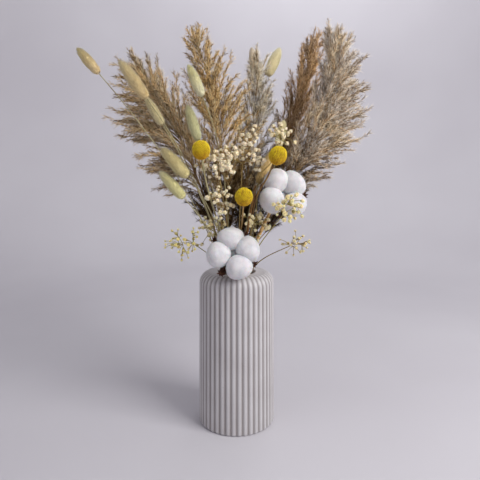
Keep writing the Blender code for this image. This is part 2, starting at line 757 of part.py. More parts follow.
def stem_list():
    """Every stem as (kind, number, path, radii), plumes first."""
    stems = []
    for index, plume in enumerate(PLUMES):
        path = stem_path(plume.tip, plume.lean, plume.tip)
        stems.append(("plume", index, path, plume_radii(plume, path)))
    for index, tail in enumerate(TAILS):
        way = unit(np.subtract(tail.tip, tail.base))
        path = stem_path(np.array(tail.base) - way * SEAT_GAP, way, tail.base)
        stems.append(("tail", index, path, np.full(len(path), TAIL_STEM)))
    for index, globe in enumerate(GLOBES):
        way = unit(globe.lean)
        end = np.array(globe.centre) - way * (GLOBE_RADIUS * 1.08 + GLOBE_BUMP * 0.6 + SEAT_GAP)
        path = stem_path(end, way, globe.centre)
        stems.append(("globe", index, path, np.full(len(path), GLOBE_STEM)))
    for index, boll in enumerate(BOLLS):
        way = unit(boll.stem_way)
        path = stem_path(stalk_end(boll) - way * SEAT_GAP, way, boll.centre)
        stems.append(("boll", index, path, np.full(len(path), COTTON_STEM)))
    path = stem_path(TWIG_TIP, TWIG_WAY, TWIG_TIP)
    stems.append(("twig", 0, path, np.linspace(COTTON_STEM, 0.8 * COTTON_STEM, len(path))))
    for index, spray in enumerate(SPRAYS):
        centre = np.array(spray.centre)
        way = unit(centre - (0, 0, VASE_HEIGHT))
        path = stem_path(centre - way * max(spray.half) * 0.6, way, centre)
        stems.append(("spray", index, path, np.full(len(path), SPRAY_STEM)))
    return stems


def main():
    clear_scene()
    add_vase()
    stems = stem_list()
    owners = {(kind, index): number for number, (kind, index, _, _) in enumerate(stems)}
    space = head_space(owners)
    paths = part_stems([stem[2] for stem in stems], [stem[3] for stem in stems], space)
    for number, path in enumerate(paths):
        space.add(number, path, stems[number][3])
    for number, (kind, index, _, radii) in enumerate(stems):
        path = paths[number]
        label = f"{index + 1:02d}"
        if kind == "tail":
            add_node(f"bunny_tail_stem_{label}", [tube(path, radii, 3)], ("stalk", REED_GREEN, 0.7))
            add_node(f"bunny_tail_head_{label}", [tufted_head(*TAILS[index])], ("soft tail", STRAW, 0.9))
        elif kind == "globe":
            add_node(f"globe_stem_{label}", [tube(path, radii, 4)], ("stalk", REED_GREEN, 0.7))
            add_node(f"globe_head_{label}", [studded_ball(*GLOBES[index])], ("globe", YELLOW, 0.8))
        elif kind == "boll":
            add_cotton(BOLLS[index], path)
        elif kind == "twig":
            add_node("cotton_twig", [tube(path, radii, 5)], ("bark", BARK, 0.8))
        elif kind == "spray":
            pieces = grow_spray(SPRAYS[index], path, space, number)
            add_node(f"floret_spray_{label}", pieces, ("floret", CREAM, 0.8))
    for index, plume in enumerate(PLUMES):
        pieces = grow_plume(plume, paths[index], space, index)
        add_node(plume.name, pieces, (f"{plume.name} straw", plume.colour, 0.9))


main()
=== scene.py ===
"""Dried pampas grass bunch in a ribbed vase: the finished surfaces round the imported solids. Metres, +Z up.

The bunch faces -Y, and the vase stands on the origin. Stalks, branches, spikelets, petals and hairs are
slender closed bodies, each carried along a line of its own, and worked out hundreds at a time as arrays.
"""

import math
from collections import namedtuple

import bpy
import numpy as np
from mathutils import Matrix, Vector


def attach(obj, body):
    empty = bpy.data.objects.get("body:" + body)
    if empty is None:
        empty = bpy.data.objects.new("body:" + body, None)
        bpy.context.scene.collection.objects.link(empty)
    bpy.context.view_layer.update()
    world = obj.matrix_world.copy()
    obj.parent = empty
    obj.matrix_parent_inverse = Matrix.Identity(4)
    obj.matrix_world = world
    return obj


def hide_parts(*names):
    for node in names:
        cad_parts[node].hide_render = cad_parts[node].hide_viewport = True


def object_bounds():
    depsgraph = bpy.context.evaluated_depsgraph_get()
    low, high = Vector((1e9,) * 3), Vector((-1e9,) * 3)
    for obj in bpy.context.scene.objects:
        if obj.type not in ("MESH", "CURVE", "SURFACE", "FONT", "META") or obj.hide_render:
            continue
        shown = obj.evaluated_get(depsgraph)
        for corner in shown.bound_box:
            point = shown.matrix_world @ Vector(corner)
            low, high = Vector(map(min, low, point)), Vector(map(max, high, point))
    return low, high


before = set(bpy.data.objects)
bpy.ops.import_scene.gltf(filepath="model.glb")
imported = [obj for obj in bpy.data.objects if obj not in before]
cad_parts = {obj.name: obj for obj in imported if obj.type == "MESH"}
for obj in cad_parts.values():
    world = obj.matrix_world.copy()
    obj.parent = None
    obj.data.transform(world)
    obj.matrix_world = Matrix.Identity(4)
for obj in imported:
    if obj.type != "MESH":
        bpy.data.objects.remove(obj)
solid_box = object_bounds()


# The studio
# A pale round floor that sweeps up into a wall on every side, with a large soft light at the upper right, a
# weak one at the left and a small one over the wall behind. The camera is as high as the globe flowers.

CAMERA_PLACE = (0.0044, -0.5981, 0.3377)
CAMERA_DOWN = 9.3
CAMERA_LENS = 36.08
SWEEP_RADIUS = 1.6
SWEEP_CURVE = 0.7
SWEEP_HEIGHT = 1.9
SWEEP_SIDES = 96
PAPER_SHADES = ((0.765, 0.755, 0.775), (0.79, 0.782, 0.80))
BUNCH_MIDDLE = (0, 0, 0.27)
WALL_BEHIND = (0.15, 1.6, 0.85)


def tint(red, green, blue):
    """A colour as it looks on a screen, made linear for a shader."""
    return tuple(((c + 0.055) / 1.055) ** 2.4 for c in (red, green, blue)) + (1.0,)


def new_finish(name, roughness, gloss, **others):
    """A material of this roughness and gloss. The others are inputs of its shader, with _ for each space."""
    finish = bpy.data.materials.new(name)
    finish.use_nodes = True
    values = {"Roughness": roughness, "Specular IOR Level": gloss, **others}
    for socket, value in values.items():
        shader_of(finish).inputs[socket.replace("_", " ")].default_value = value
    return finish


def shader_of(finish):
    return finish.node_tree.nodes["Principled BSDF"]


def put(finish, kind, inputs, **settings):
    """Adds a shader node with these settings, and sets each input or links it to another node's output."""
    node = finish.node_tree.nodes.new("ShaderNode" + kind)
    for name, value in settings.items():
        setattr(node, name, value)
    for name, value in inputs.items():
        if isinstance(value, bpy.types.NodeSocket):
            finish.node_tree.links.new(value, node.inputs[name])
        else:
            node.inputs[name].default_value = value
    return node


def noise(finish, scale, detail=3.0, stretch=(1, 1, 1)):
    """Noise over the piece's own place, from about 0.3 to 0.7. stretch thins it along an axis."""
    place = put(finish, "TexCoord", {}).outputs["Object"]
    spread = put(finish, "Mapping", {"Vector": place, "Scale": stretch}).outputs["Vector"]
    return put(finish, "TexNoise", {"Vector": spread, "Scale": scale, "Detail": detail}).outputs["Fac"]


def ramp(finish, factor, *stops):
    """A colour that runs through these stops, each a place from 0 to 1 and a colour as it looks on a
    screen."""
    node = put(finish, "ValToRGB", {"Fac": factor})
    elements = node.color_ramp.elements
    while len(elements) < len(stops):
        elements.new(0.5)
    for element, (place, colour) in zip(elements, stops):
        element.position, element.color = place, tint(*colour)
    return node.outputs["Color"]


def coloured(finish, colour):
    finish.node_tree.links.new(colour, shader_of(finish).inputs["Base Color"])
    return finish


def net_faces(rings, sides):
    """The triangles of a closed net: a first point, rings of corners, and a last point. They face outwards
    where the corners run anticlockwise as seen from the last point."""
    ring = 1 + np.arange(rings)[:, None] * sides + np.arange(sides)
    turned = np.roll(ring, -1, axis=1)
    low, low_next = ring[:-1].ravel(), turned[:-1].ravel()
    high, high_next = ring[1:].ravel(), turned[1:].ravel()
    last = np.full(sides, 1 + rings * sides)
    return np.vstack([
        np.column_stack([np.zeros(sides, int), turned[0], ring[0]]),
        np.column_stack([low, low_next, high_next]),
        np.column_stack([low, high_next, high]),
        np.column_stack([ring[-1], turned[-1], last]),
    ])


def mesh_object(name, points, faces, finish, marks=None):
    """An object at the origin with this mesh. Each mark is a number for every point, which its material
    reads."""
    mesh = bpy.data.meshes.new(name)
    mesh.vertices.add(len(points))
    mesh.vertices.foreach_set("co", np.asarray(points, np.float32).ravel())
    mesh.loops.add(faces.size)
    mesh.loops.foreach_set("vertex_index", faces.astype(np.int32).ravel())
    mesh.polygons.add(len(faces))
    mesh.polygons.foreach_set("loop_start", np.arange(0, faces.size, 3, dtype=np.int32))
    mesh.update(calc_edges=True)
    mesh.shade_smooth()
    for mark, values in (marks or {}).items():
        held = mesh.attributes.new(mark, "FLOAT", "POINT").data
        held.foreach_set("value", np.asarray(values, np.float32))
    mesh.materials.append(finish)
    piece = bpy.data.objects.new(name, mesh)
    bpy.context.scene.collection.objects.link(piece)
    return piece


def carried_round(radii, heights, angles):
    """The rings of a section carried round the upright axis: (radius * cos a, radius * sin a, height).
    radii has one column, or one for each angle."""
    rings = [radii * np.cos(angles), radii * np.sin(angles), np.repeat(heights, len(angles), axis=1)]
    return np.stack(rings, axis=2).reshape(-1, 3)


def sweep_profile(count=24):
    """The floor's section from the middle out: flat, then a quarter circle, then straight up."""
    angles = np.linspace(-math.pi / 2, 0, count)
    flat = SWEEP_RADIUS - SWEEP_CURVE
    radii = np.concatenate([[0.3 * flat, flat], flat + SWEEP_CURVE * np.cos(angles), [SWEEP_RADIUS]])
    heights = np.concatenate([[0, 0], SWEEP_CURVE * (1 + np.sin(angles)), [SWEEP_HEIGHT]])
    return radii, heights


def add_sweep():
    """The sweep's section carried round the upright axis, open at the top."""
    radii, heights = sweep_profile()
    angles = np.linspace(0, 2 * math.pi, SWEEP_SIDES, endpoint=False)
    points = np.vstack([[[0, 0, 0]], carried_round(radii[:, None], heights[:, None], angles)])
    faces = net_faces(len(radii), SWEEP_SIDES)[:-SWEEP_SIDES, ::-1]
    paper = new_finish("backdrop paper", 0.9, 0.2)
    coloured(paper, ramp(paper, noise(paper, 2.5, 2), *zip((0.3, 0.7), PAPER_SHADES)))
    sweep = mesh_object("studio_sweep", points, faces, paper)


def add_light(name, place, size, power, colour, target):
    """A square soft light that faces its target."""
    lamp = bpy.data.lights.new(name, "AREA")
    lamp.size, lamp.energy, lamp.color = size, power, colour
    light = bpy.data.objects.new(name, lamp)
    bpy.context.scene.collection.objects.link(light)
    aim = np.subtract(target, place)
    light.location = place
    light.rotation_euler = (math.pi / 2 + math.atan2(aim[2], math.hypot(aim[0], aim[1])), 0,
                            math.atan2(aim[1], aim[0]) - math.pi / 2)


def add_camera():
    lens = bpy.data.cameras.new("camera")
    lens.lens, lens.sensor_width = CAMERA_LENS, 36
    lens.clip_start = 0.01
    camera = bpy.data.objects.new("camera", lens)
    bpy.context.scene.collection.objects.link(camera)
    camera.location = CAMERA_PLACE
    camera.rotation_euler = (math.radians(90 - CAMERA_DOWN), 0, 0)
    bpy.context.scene.camera = camera


add_camera()
add_sweep()
add_light("window_light", (0.95, -0.70, 1.00), 0.8, 19.2, (1.0, 0.985, 0.98), BUNCH_MIDDLE)
add_light("left_fill", (-1.0, -0.7, 0.6), 0.9, 1.5, (0.95, 0.95, 1.0), BUNCH_MIDDLE)
add_light("wall_light", (0.25, 0.85, 1.5), 0.4, 6.2, (0.98, 0.985, 1.0), WALL_BEHIND)
world = bpy.data.worlds.new("studio_air")
world.use_nodes = True
world.node_tree.nodes["Background"].inputs["Color"].default_value = (0.955, 0.948, 1.0, 1)
world.node_tree.nodes["Background"].inputs["Strength"].default_value = 0.475
bpy.context.scene.world = world
bpy.context.scene.view_settings.view_transform = "Standard"


# The stems' places
# Every stem stands on the vase's floor, crosses the mouth on the side that it leans to, and rises to what it
# carries. The solids follow the same rule, so a finer piece made from these lines lies where its solid lies.

VASE_HEIGHT = 0.200
BASE_RADIUS = 0.050
SHOULDER_RADIUS = 0.0473
MOUTH_RADIUS = 0.0235
WALL = 0.0055
FLOOR = 0.007
RIB_DEPTH = 0.0016

SEAT_GAP = 0.0003
CLEAR = 0.0007
FOCUS_HEIGHT = 0.150
FOOT_SPREAD = 1.45
HALF_LEAN = 0.5
MOUTH_TILT = 0.55
NODES_BELOW_MOUTH = 2
NODES_ABOVE_MOUTH = 8
MOST_PUSH = 0.0005
PULL_HOME = 0.01

PLUME_STEM = 0.0016
PLUME_CORE = 0.0034
TAIL_STEM = 0.0007
GLOBE_STEM = 0.0010
COTTON_STEM = 0.0021
SPRAY_STEM = 0.0008
GLOBE_RADIUS = 0.0096
GLOBE_BUMP = 0.0009
GLOBE_STRETCH = 0.08
LOBE_OFFSET = 0.0192
LOBE_AXES = (0.0124, 0.0158, 0.0146)
HUSK_BACK = 0.0165
HUSK_STALK = 0.0070
HUSK_REACH = 0.0305
HUSK_WIDTH = 0.0100

# A plume's stem ends at tip, pointing along lean. Its branches start at this share of the stem above the
# mouth, spread from it by these degrees at its foot and at its tip, reach this far, and bend towards comb.
Plume = namedtuple("Plume", "name tip lean comb reach spread branches start seed")
PLUMES = (
    Plume("plume_left", tip=(-0.119, 0.005, 0.443), lean=(-0.67, 0, 0.80),
          comb=(-1.8, 0, -0.93), reach=0.096, spread=(28, 17), branches=39, start=0.36, seed=1),
    Plume("plume_tall", tip=(-0.050, 0.030, 0.484), lean=(-0.40, 0, 0.96),
          comb=(0.77, 0, 0.37), reach=0.0885, spread=(48, 17), branches=34, start=0.21, seed=2),
    Plume("plume_middle", tip=(0.028, 0.048, 0.465), lean=(0.05, 0, 1.0),
          comb=(0.28, 0, 0.09), reach=0.074, spread=(23, 19), branches=25, start=0.22, seed=3),
    Plume("plume_dark", tip=(0.099, 0.060, 0.486), lean=(0.13, 0, 0.97),
          comb=(0.02, 0, 0.45), reach=0.089, spread=(14, 17), branches=29, start=0.28, seed=4),
    Plume("plume_right", tip=(0.113, -0.005, 0.471), lean=(-0.21, 0, 0.98),
          comb=(1.39, 0, -0.10), reach=0.0955, spread=(24, 9), branches=42, start=0.34, seed=5),
)

# A bunny tail's head, from where its stem ends to its tip, and its thickness.
Tail = namedtuple("Tail", "base tip radius")
TAILS = (
    Tail((-0.154, -0.035, 0.435), (-0.176, -0.035, 0.461), 0.0062),
    Tail((-0.097, -0.054, 0.405), (-0.124, -0.057, 0.443), 0.0066),
    Tail((-0.085, -0.027, 0.379), (-0.103, -0.027, 0.409), 0.0054),
    Tail((-0.038, -0.034, 0.410), (-0.053, -0.034, 0.443), 0.0062),
    Tail((-0.044, -0.026, 0.361), (-0.056, -0.024, 0.400), 0.0064),
    Tail((-0.054, -0.055, 0.320), (-0.081, -0.058, 0.351), 0.0076),
    Tail((-0.059, -0.050, 0.296), (-0.084, -0.055, 0.325), 0.0066),
    Tail((0.041, 0.074, 0.450), (0.057, 0.076, 0.485), 0.0085),
    Tail((0.026, 0.070, 0.454), (0.020, 0.073, 0.485), 0.0065),
    Tail((0.052, 0.005, 0.354), (0.058, 0.008, 0.386), 0.0060),
    Tail((0.026, -0.014, 0.311), (0.043, -0.014, 0.349), 0.0058),
)

# A globe flower's centre and the direction from its stem into it.
Globe = namedtuple("Globe", "centre lean")
GLOBES = (
    Globe((-0.039, -0.052, 0.350), (-0.10, -0.10, 0.99)),
    Globe((0.047, -0.048, 0.344), (0.45, -0.10, 0.90)),
    Globe((0.0088, -0.052, 0.2977), (0.05, -0.50, 0.86)),
)

# A cotton boll's centre, the way it faces, the angles that its lobes lie at, and how its stem arrives.
Boll = namedtuple("Boll", "name centre face lobes stem_way")
BOLLS = (
    Boll("front", (-0.0035, -0.046, 0.2315), (0.02, -0.93, 0.37), (184, 100, 15, -68), (-0.05, -0.70, 0.71)),
    Boll("side", (0.0563, -0.028, 0.3000), (0.30, -0.90, 0.30), (118, 42, 206, -50), (0.45, -0.25, 0.85)),
)
TWIG_TIP = (0.024, -0.006, 0.308)
TWIG_WAY = (0.20, 0, 0.98)

# A spray's cloud of florets: its centre, half sizes, how many florets it holds, and its seed.
Spray = namedtuple("Spray", "centre half florets seed")
SPRAYS = (
    Spray((-0.0219, -0.040, 0.3346), (0.014, 0.013, 0.011), 13, 11),
    Spray((0.0079, -0.032, 0.3482), (0.023, 0.016, 0.022), 16, 12),
    Spray((0.0500, -0.028, 0.3630), (0.011, 0.010, 0.011), 6, 13),
    Spray((-0.0232, -0.045, 0.2903), (0.015, 0.011, 0.014), 8, 14),
    Spray((0.0198, -0.033, 0.2620), (0.017, 0.011, 0.022), 8, 15),
    Spray((0.0581, -0.062, 0.2850), (0.015, 0.008, 0.012), 8, 16),
    Spray((-0.0625, -0.030, 0.2471), (0.017, 0.013, 0.023), 11, 17),
    Spray((0.0703, -0.040, 0.2427), (0.013, 0.011, 0.010), 7, 18),
    Spray((-0.0267, -0.027, 0.2575), (0.013, 0.010, 0.012), 7, 19),
)


def unit(ways):
    """The same directions, each one long."""
    ways = np.asarray(ways, float)
    return ways / np.linalg.norm(ways, axis=-1, keepdims=True)


def hermite(start, end, start_way, end_way, count):
    """A cubic from start to end that leaves along start_way and arrives along end_way."""
    start, end = np.asarray(start, float), np.asarray(end, float)
    reach = np.linalg.norm(end - start)
    t = np.linspace(0, 1, count + 1)[:, None]
    return (
        (2 * t**3 - 3 * t**2 + 1) * start
        + (t**3 - 2 * t**2 + t) * reach * unit(start_way)
        + (3 * t**2 - 2 * t**3) * end
        + (t**3 - t**2) * reach * unit(end_way)
    )


def stem_path(end, end_way, aim):
    """A stem from the vase's floor to end. It crosses the mouth on the side that it leans to."""
    lean = np.array(aim[:2]) / (aim[2] - FOCUS_HEIGHT)
    mouth = MOUTH_RADIUS * lean / math.hypot(*lean, HALF_LEAN)
    at_mouth = np.array([*mouth, VASE_HEIGHT])
    at_floor = np.array([*(mouth * FOOT_SPREAD), FLOOR + SEAT_GAP])
    through = np.array([*(MOUTH_TILT * lean), 1.0])
    below = hermite(at_floor, at_mouth, (0, 0, 1), through, NODES_BELOW_MOUTH)
    above = hermite(at_mouth, end, through, end_way, NODES_ABOVE_MOUTH)
    return np.vstack([below, above[1:]])


def nearest(starts, ends, other_starts, other_ends):
    """For every pair of segments, their nearest points."""
    along, other = (ends - starts)[:, None], (other_ends - other_starts)[None]
    between = starts[:, None] - other_starts[None]
    a = np.maximum((along**2).sum(2), 1e-12)
    e = np.maximum((other**2).sum(2), 1e-12)
    b, c, f = (along * other).sum(2), (along * between).sum(2), (other * between).sum(2)
    spread = a * e - b * b
    s = np.where(spread > 1e-14, (b * f - c * e) / np.maximum(spread, 1e-14), 0)
    t = np.clip((b * np.clip(s, 0, 1) + f) / e, 0, 1)
    s = np.clip((b * t - c) / a, 0, 1)
    return starts[:, None] + along * s[..., None], other_starts[None] + other * t[..., None]


class Space:
    """What each finished piece fills, as round-ended segments, so that the next one can grow clear of it."""

    def __init__(self):
        self.starts, self.ends = np.zeros((0, 3)), np.zeros((0, 3))
        self.radii, self.owners = np.zeros(0), np.zeros(0, int)

    def add(self, owner, points, radii):
        points, radii = np.asarray(points, float), np.asarray(radii, float)
        self.starts = np.vstack([self.starts, points[:-1]])
        self.ends = np.vstack([self.ends, points[1:]])
        self.radii = np.append(self.radii, np.maximum(radii[:-1], radii[1:]))
        self.owners = np.append(self.owners, np.full(len(points) - 1, owner))

    def gap(self, owner, points, radii):
        """The least free distance from this path to anything that another piece fills."""
        others = self.owners != owner
        points, radii = np.asarray(points, float), np.asarray(radii, float)
        thick = np.maximum(radii[:-1], radii[1:])
        here, there = nearest(points[:-1], points[1:], self.starts[others], self.ends[others])
        return (np.linalg.norm(here - there, axis=2) - thick[:, None] - self.radii[others]).min()


def keep_inside(path, radius):
    """Holds the nodes at and below the mouth inside the vase."""
    rooms = np.full(NODES_BELOW_MOUTH + 1, SHOULDER_RADIUS - RIB_DEPTH - WALL)
    rooms[-1] = MOUTH_RADIUS
    rooms[-2] = 0.5 * (MOUTH_RADIUS + rooms[0])
    out = np.linalg.norm(path[: len(rooms), :2], axis=1)
    most = rooms - radius - 2 * CLEAR
    path[: len(rooms), :2] *= np.minimum(1, most / np.maximum(out, 1e-9))[:, None]


def part_stems(paths, radii, heads, rounds=240):
    """Pushes stems apart, and clear of the heads, but for the last two nodes of each."""
    homes, paths = paths, [path.copy() for path in paths]
    owner = np.repeat(np.arange(len(paths)), [len(path) - 1 for path in paths])
    place = np.concatenate([np.arange(len(path) - 1) for path in paths])
    thick = np.concatenate([np.maximum(r[:-1], r[1:]) for r in radii])
    own = owner[:, None] == np.append(owner, heads.owners)[None]
    for _ in range(rounds):
        starts = np.vstack([path[:-1] for path in paths])
        ends = np.vstack([path[1:] for path in paths])
        here, there = nearest(starts, ends, np.vstack([starts, heads.starts]), np.vstack([ends, heads.ends]))
        distance = np.linalg.norm(here - there, axis=2)
        wanted = thick[:, None] + np.append(thick, heads.radii)[None] + CLEAR
        short = np.where(own, 0, np.maximum(wanted - distance, 0))
        if short.max() < 1e-5:
            break
        push = ((here - there) / np.maximum(distance, 1e-6)[..., None] * short[..., None]).sum(1) * 0.6
        push *= np.minimum(1, MOST_PUSH / np.maximum(np.linalg.norm(push, axis=1), 1e-9))[:, None]
        for index, path in enumerate(paths):
            mine = owner == index
            moved = np.zeros_like(path)
            moved[place[mine]] += push[mine]
            moved[place[mine] + 1] += push[mine]
            moved[1:-1] = 0.25 * moved[:-2] + 0.5 * moved[1:-1] + 0.25 * moved[2:]
            moved += PULL_HOME * (homes[index] - path)
            moved[-2:] = 0
            moved[: NODES_BELOW_MOUTH + 1, 2] = 0
            path += moved
            keep_inside(path, radii[index][0])
    return paths


def run_marks(points):
    """How far along the path each point lies, from 0 to 1."""
    runs = np.append(0, np.cumsum(np.linalg.norm(np.diff(points, axis=0), axis=1)))
    return runs / runs[-1]


def plume_radii(plume, path):
    """The stem's radius, and above the first branch that of the core which the branches stand out of."""
    marks = run_marks(path[NODES_BELOW_MOUTH:])
    above = [PLUME_STEM if mark < plume.start else PLUME_CORE * (1.15 - mark) for mark in marks]
    return np.array([PLUME_STEM] * NODES_BELOW_MOUTH + above)


def boll_frame(boll):
    """The way the boll faces, and right and up as seen from in front of it."""
    face = unit(boll.face)
    right = unit(np.cross((0, 0, 1), face))
    return face, right, np.cross(face, right)


def around(boll, degrees):
    """The direction out from the boll's centre at this angle."""
    _, right, up = boll_frame(boll)
    return math.cos(math.radians(degrees)) * right + math.sin(math.radians(degrees)) * up


def lobe_centres(boll):
    return [np.array(boll.centre) + LOBE_OFFSET * around(boll, degrees) for degrees in boll.lobes]


def husk_back(boll):
    return np.array(boll.centre) - unit(boll.face) * HUSK_BACK


def stalk_end(boll):
    return husk_back(boll) - unit(boll.stem_way) * HUSK_STALK


def valve_outs(boll):
    """The direction of each husk valve: out through the gap between two lobes."""
    turns = sorted(angle % 360 for angle in boll.lobes)
    following = turns[1:] + [turns[0] + 360]
    return [around(boll, (turn + after) / 2) for turn, after in zip(turns, following)]


def valve_line(boll, out):
    """A husk valve's middle line, from the cup behind the lobes out and forward to its point."""
    face, back = unit(boll.face), husk_back(boll)
    return np.array([
        back + out * 0.004,
        back + out * 0.0165 - face * 0.0005,
        back + out * HUSK_REACH * 0.82 + face * 0.0085,
        back + out * HUSK_REACH + face * 0.0165,
    ])


def head_space(owners):
    """The space that the tails' heads, the globes and the bolls fill, by the stem that carries each."""
    space = Space()
    for index, tail in enumerate(TAILS):
        space.add(owners["tail", index], [tail.base, tail.tip], [tail.radius * 1.12] * 2)
    for index, globe in enumerate(GLOBES):
        centre = np.array(globe.centre)
        radius = GLOBE_RADIUS * (1 + GLOBE_STRETCH) + GLOBE_BUMP
        space.add(owners["globe", index], [centre, centre + 1e-5], [radius] * 2)
    for index, boll in enumerate(BOLLS):
        owner = owners["boll", index]
        for place in lobe_centres(boll):
            space.add(owner, [place, place + 1e-5], [max(LOBE_AXES)] * 2)
        space.add(owner, [stalk_end(boll), husk_back(boll), boll.centre], [0.006, 0.010, 0.010])
        for out in valve_outs(boll):
            space.add(owner, valve_line(boll, out), [HUSK_WIDTH / 2, HUSK_WIDTH / 2, HUSK_WIDTH / 2, 0.001])
    return space


def stem_ends():
    """For every stem but the plumes': its kind and number, where it ends and which way, what it leans to,
    and its radii at the foot and at the end."""
    for index, tail in enumerate(TAILS):
        way = unit(np.subtract(tail.tip, tail.base))
        yield "tail", index, np.array(tail.base) - way * SEAT_GAP, way, tail.base, [TAIL_STEM] * 2
    for index, globe in enumerate(GLOBES):
        way = unit(globe.lean)
        back = GLOBE_RADIUS * (1 + GLOBE_STRETCH) + GLOBE_BUMP * 0.6 + SEAT_GAP
        yield "globe", index, np.array(globe.centre) - way * back, way, globe.centre, [GLOBE_STEM] * 2
    for index, boll in enumerate(BOLLS):
        way = unit(boll.stem_way)
        yield "boll", index, stalk_end(boll) - way * SEAT_GAP, way, boll.centre, [COTTON_STEM] * 2
    yield "twig", 0, TWIG_TIP, TWIG_WAY, TWIG_TIP, [COTTON_STEM, 0.8 * COTTON_STEM]
    for index, spray in enumerate(SPRAYS):
        centre = np.array(spray.centre)
        way = unit(centre - (0, 0, VASE_HEIGHT))
        yield "spray", index, centre - way * max(spray.half) * 0.6, way, centre, [SPRAY_STEM] * 2


def stem_list():
    """Every stem as (kind, number, path, radii), plumes first."""
    stems = []
    for index, plume in enumerate(PLUMES):
        path = stem_path(plume.tip, plume.lean, plume.tip)
        stems.append(("plume", index, path, plume_radii(plume, path)))
    for kind, index, end, way, aim, radii in stem_ends():
        path = stem_path(end, way, aim)
        stems.append((kind, index, path, np.linspace(*radii, len(path))))
    return stems


stems = stem_list()
owners = {(kind, index): number for number, (kind, index, _, _) in enumerate(stems)}
space = head_space(owners)
paths = part_stems([stem[2] for stem in stems], [stem[3] for stem in stems], space)
for number, path in enumerate(paths):
    space.add(number, path, stems[number][3])


# The vase
# Cast stoneware with a matt white glaze: forty-two round beads run up the wall and over the shoulder to a
# plain lip. The glaze is painted darker and greyer down in the grooves as shade, and is finely speckled.

SHOULDER_ROUND = 0.014
FOOT_ROUND = 0.0035
LIP_WIDTH = 0.003
RIBS = 42
RIB_TURN = math.radians(4.65)
COLUMNS_PER_RIB = 8
BEAD_POWER = 1.9

# The lip's flat top, and the section inside it: where its rows begin and how its corners are rounded.
LIP_FLAT = 0.0012
LIP_DROP = 0.004
CEILING_DROP = 0.002
THROAT_ROUND = 0.009
INSIDE_ROUND = 0.008
INSIDE_DROP = 0.006
FLOOR_ROUND = 0.004

WHITE = (1.0, 1.0, 1.0)
# The glaze on a bead's top, then painted shade on the bead's flanks and down in its groove.
GLAZE_ON_BEAD = (0.78, 0.772, 0.778)
GLAZE_FLANK_SHADE = (0.65, 0.635, 0.635)
GLAZE_GROOVE_SHADE = (0.47, 0.44, 0.432)
GLAZE_CLOUD = (0.965, 0.96, 0.96)
GLAZE_SPECK = (0.86, 0.85, 0.84)


def mixed(finish, factor, first, second, how="MIX"):
    inputs = {"Fac": factor, "Color1": first, "Color2": second}
    return put(finish, "MixRGB", inputs, blend_type=how).outputs["Color"]


def product(finish, *colours):
    """These colours multiplied together, so that each one tints or darkens those before it."""
    result = colours[0]
    for colour in colours[1:]:
        result = mixed(finish, 1.0, result, colour, "MULTIPLY")
    return result


def bumped(finish, height, distance, strength):
    bump = put(finish, "Bump", {"Height": height, "Distance": distance, "Strength": strength})
    finish.node_tree.links.new(bump.outputs["Normal"], shader_of(finish).inputs["Normal"])


def mark(finish, name):
    """The number that the mesh holds under this name at each point."""
    return put(finish, "Attribute", {}, attribute_name=name).outputs["Fac"]


def stand_for(piece, slot, *nodes):
    """Makes the piece the finished look of these nodes."""
    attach(piece, "root")
    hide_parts(*nodes)


def arc(centre, radius, first, last, count):
    """Points of a circle in the vase's section, from the first angle to the last, in degrees."""
    angles = np.radians(np.linspace(first, last, count))
    return np.column_stack([centre[0] + radius * np.cos(angles), centre[1] + radius * np.sin(angles)])


def vase_section():
    """The section as (radius, height) rows, from the underside up the wall, over the lip and down inside,
    and how strongly the beads show at each row."""
    shoulder = (SHOULDER_RADIUS - SHOULDER_ROUND, VASE_HEIGHT - SHOULDER_ROUND)
    inside = SHOULDER_RADIUS - RIB_DEPTH - WALL
    ceiling = VASE_HEIGHT - WALL - CEILING_DROP
    lip = (MOUTH_RADIUS + LIP_WIDTH / 2, VASE_HEIGHT - LIP_WIDTH / 2)
    foot = arc((BASE_RADIUS - FOOT_ROUND, FOOT_ROUND), FOOT_ROUND, -90, 0, 7)
    round_shoulder = arc(shoulder, SHOULDER_ROUND, 0, 76, 12)
    wall = np.linspace(foot[-1], round_shoulder[0], 6)[1:-1]
    neck = np.linspace(round_shoulder[-1], (lip[0] + LIP_FLAT, VASE_HEIGHT), 6)[1:]
    rim = arc(lip, LIP_WIDTH / 2, 80, 180, 6)
    inner = np.vstack([
        np.linspace((MOUTH_RADIUS, VASE_HEIGHT - LIP_DROP), (MOUTH_RADIUS, ceiling), 2),
        arc((MOUTH_RADIUS + THROAT_ROUND, ceiling - THROAT_ROUND), THROAT_ROUND, 180, 90, 5)[1:],
        arc((inside - INSIDE_ROUND, ceiling - INSIDE_ROUND), INSIDE_ROUND, 80, 0, 5),
        np.linspace((inside, shoulder[1] - INSIDE_DROP), (inside, FLOOR + FLOOR_ROUND), 3),
        arc((inside - FLOOR_ROUND, FLOOR + FLOOR_ROUND), FLOOR_ROUND, -10, -90, 5),
    ])
    underside = np.array([(0.6 * BASE_RADIUS, 0.0)])
    rows = [
        (underside, 0, 0), (foot, 0.25, 1), (wall, 1, 1), (round_shoulder, 1, 0.75), (neck, 0.65, 0),
        (rim, 0, 0), (inner, 0, 0),
    ]
    strength = [np.linspace(first, last, len(points)) for points, first, last in rows]
    return np.vstack([points for points, _, _ in rows]), np.concatenate(strength)


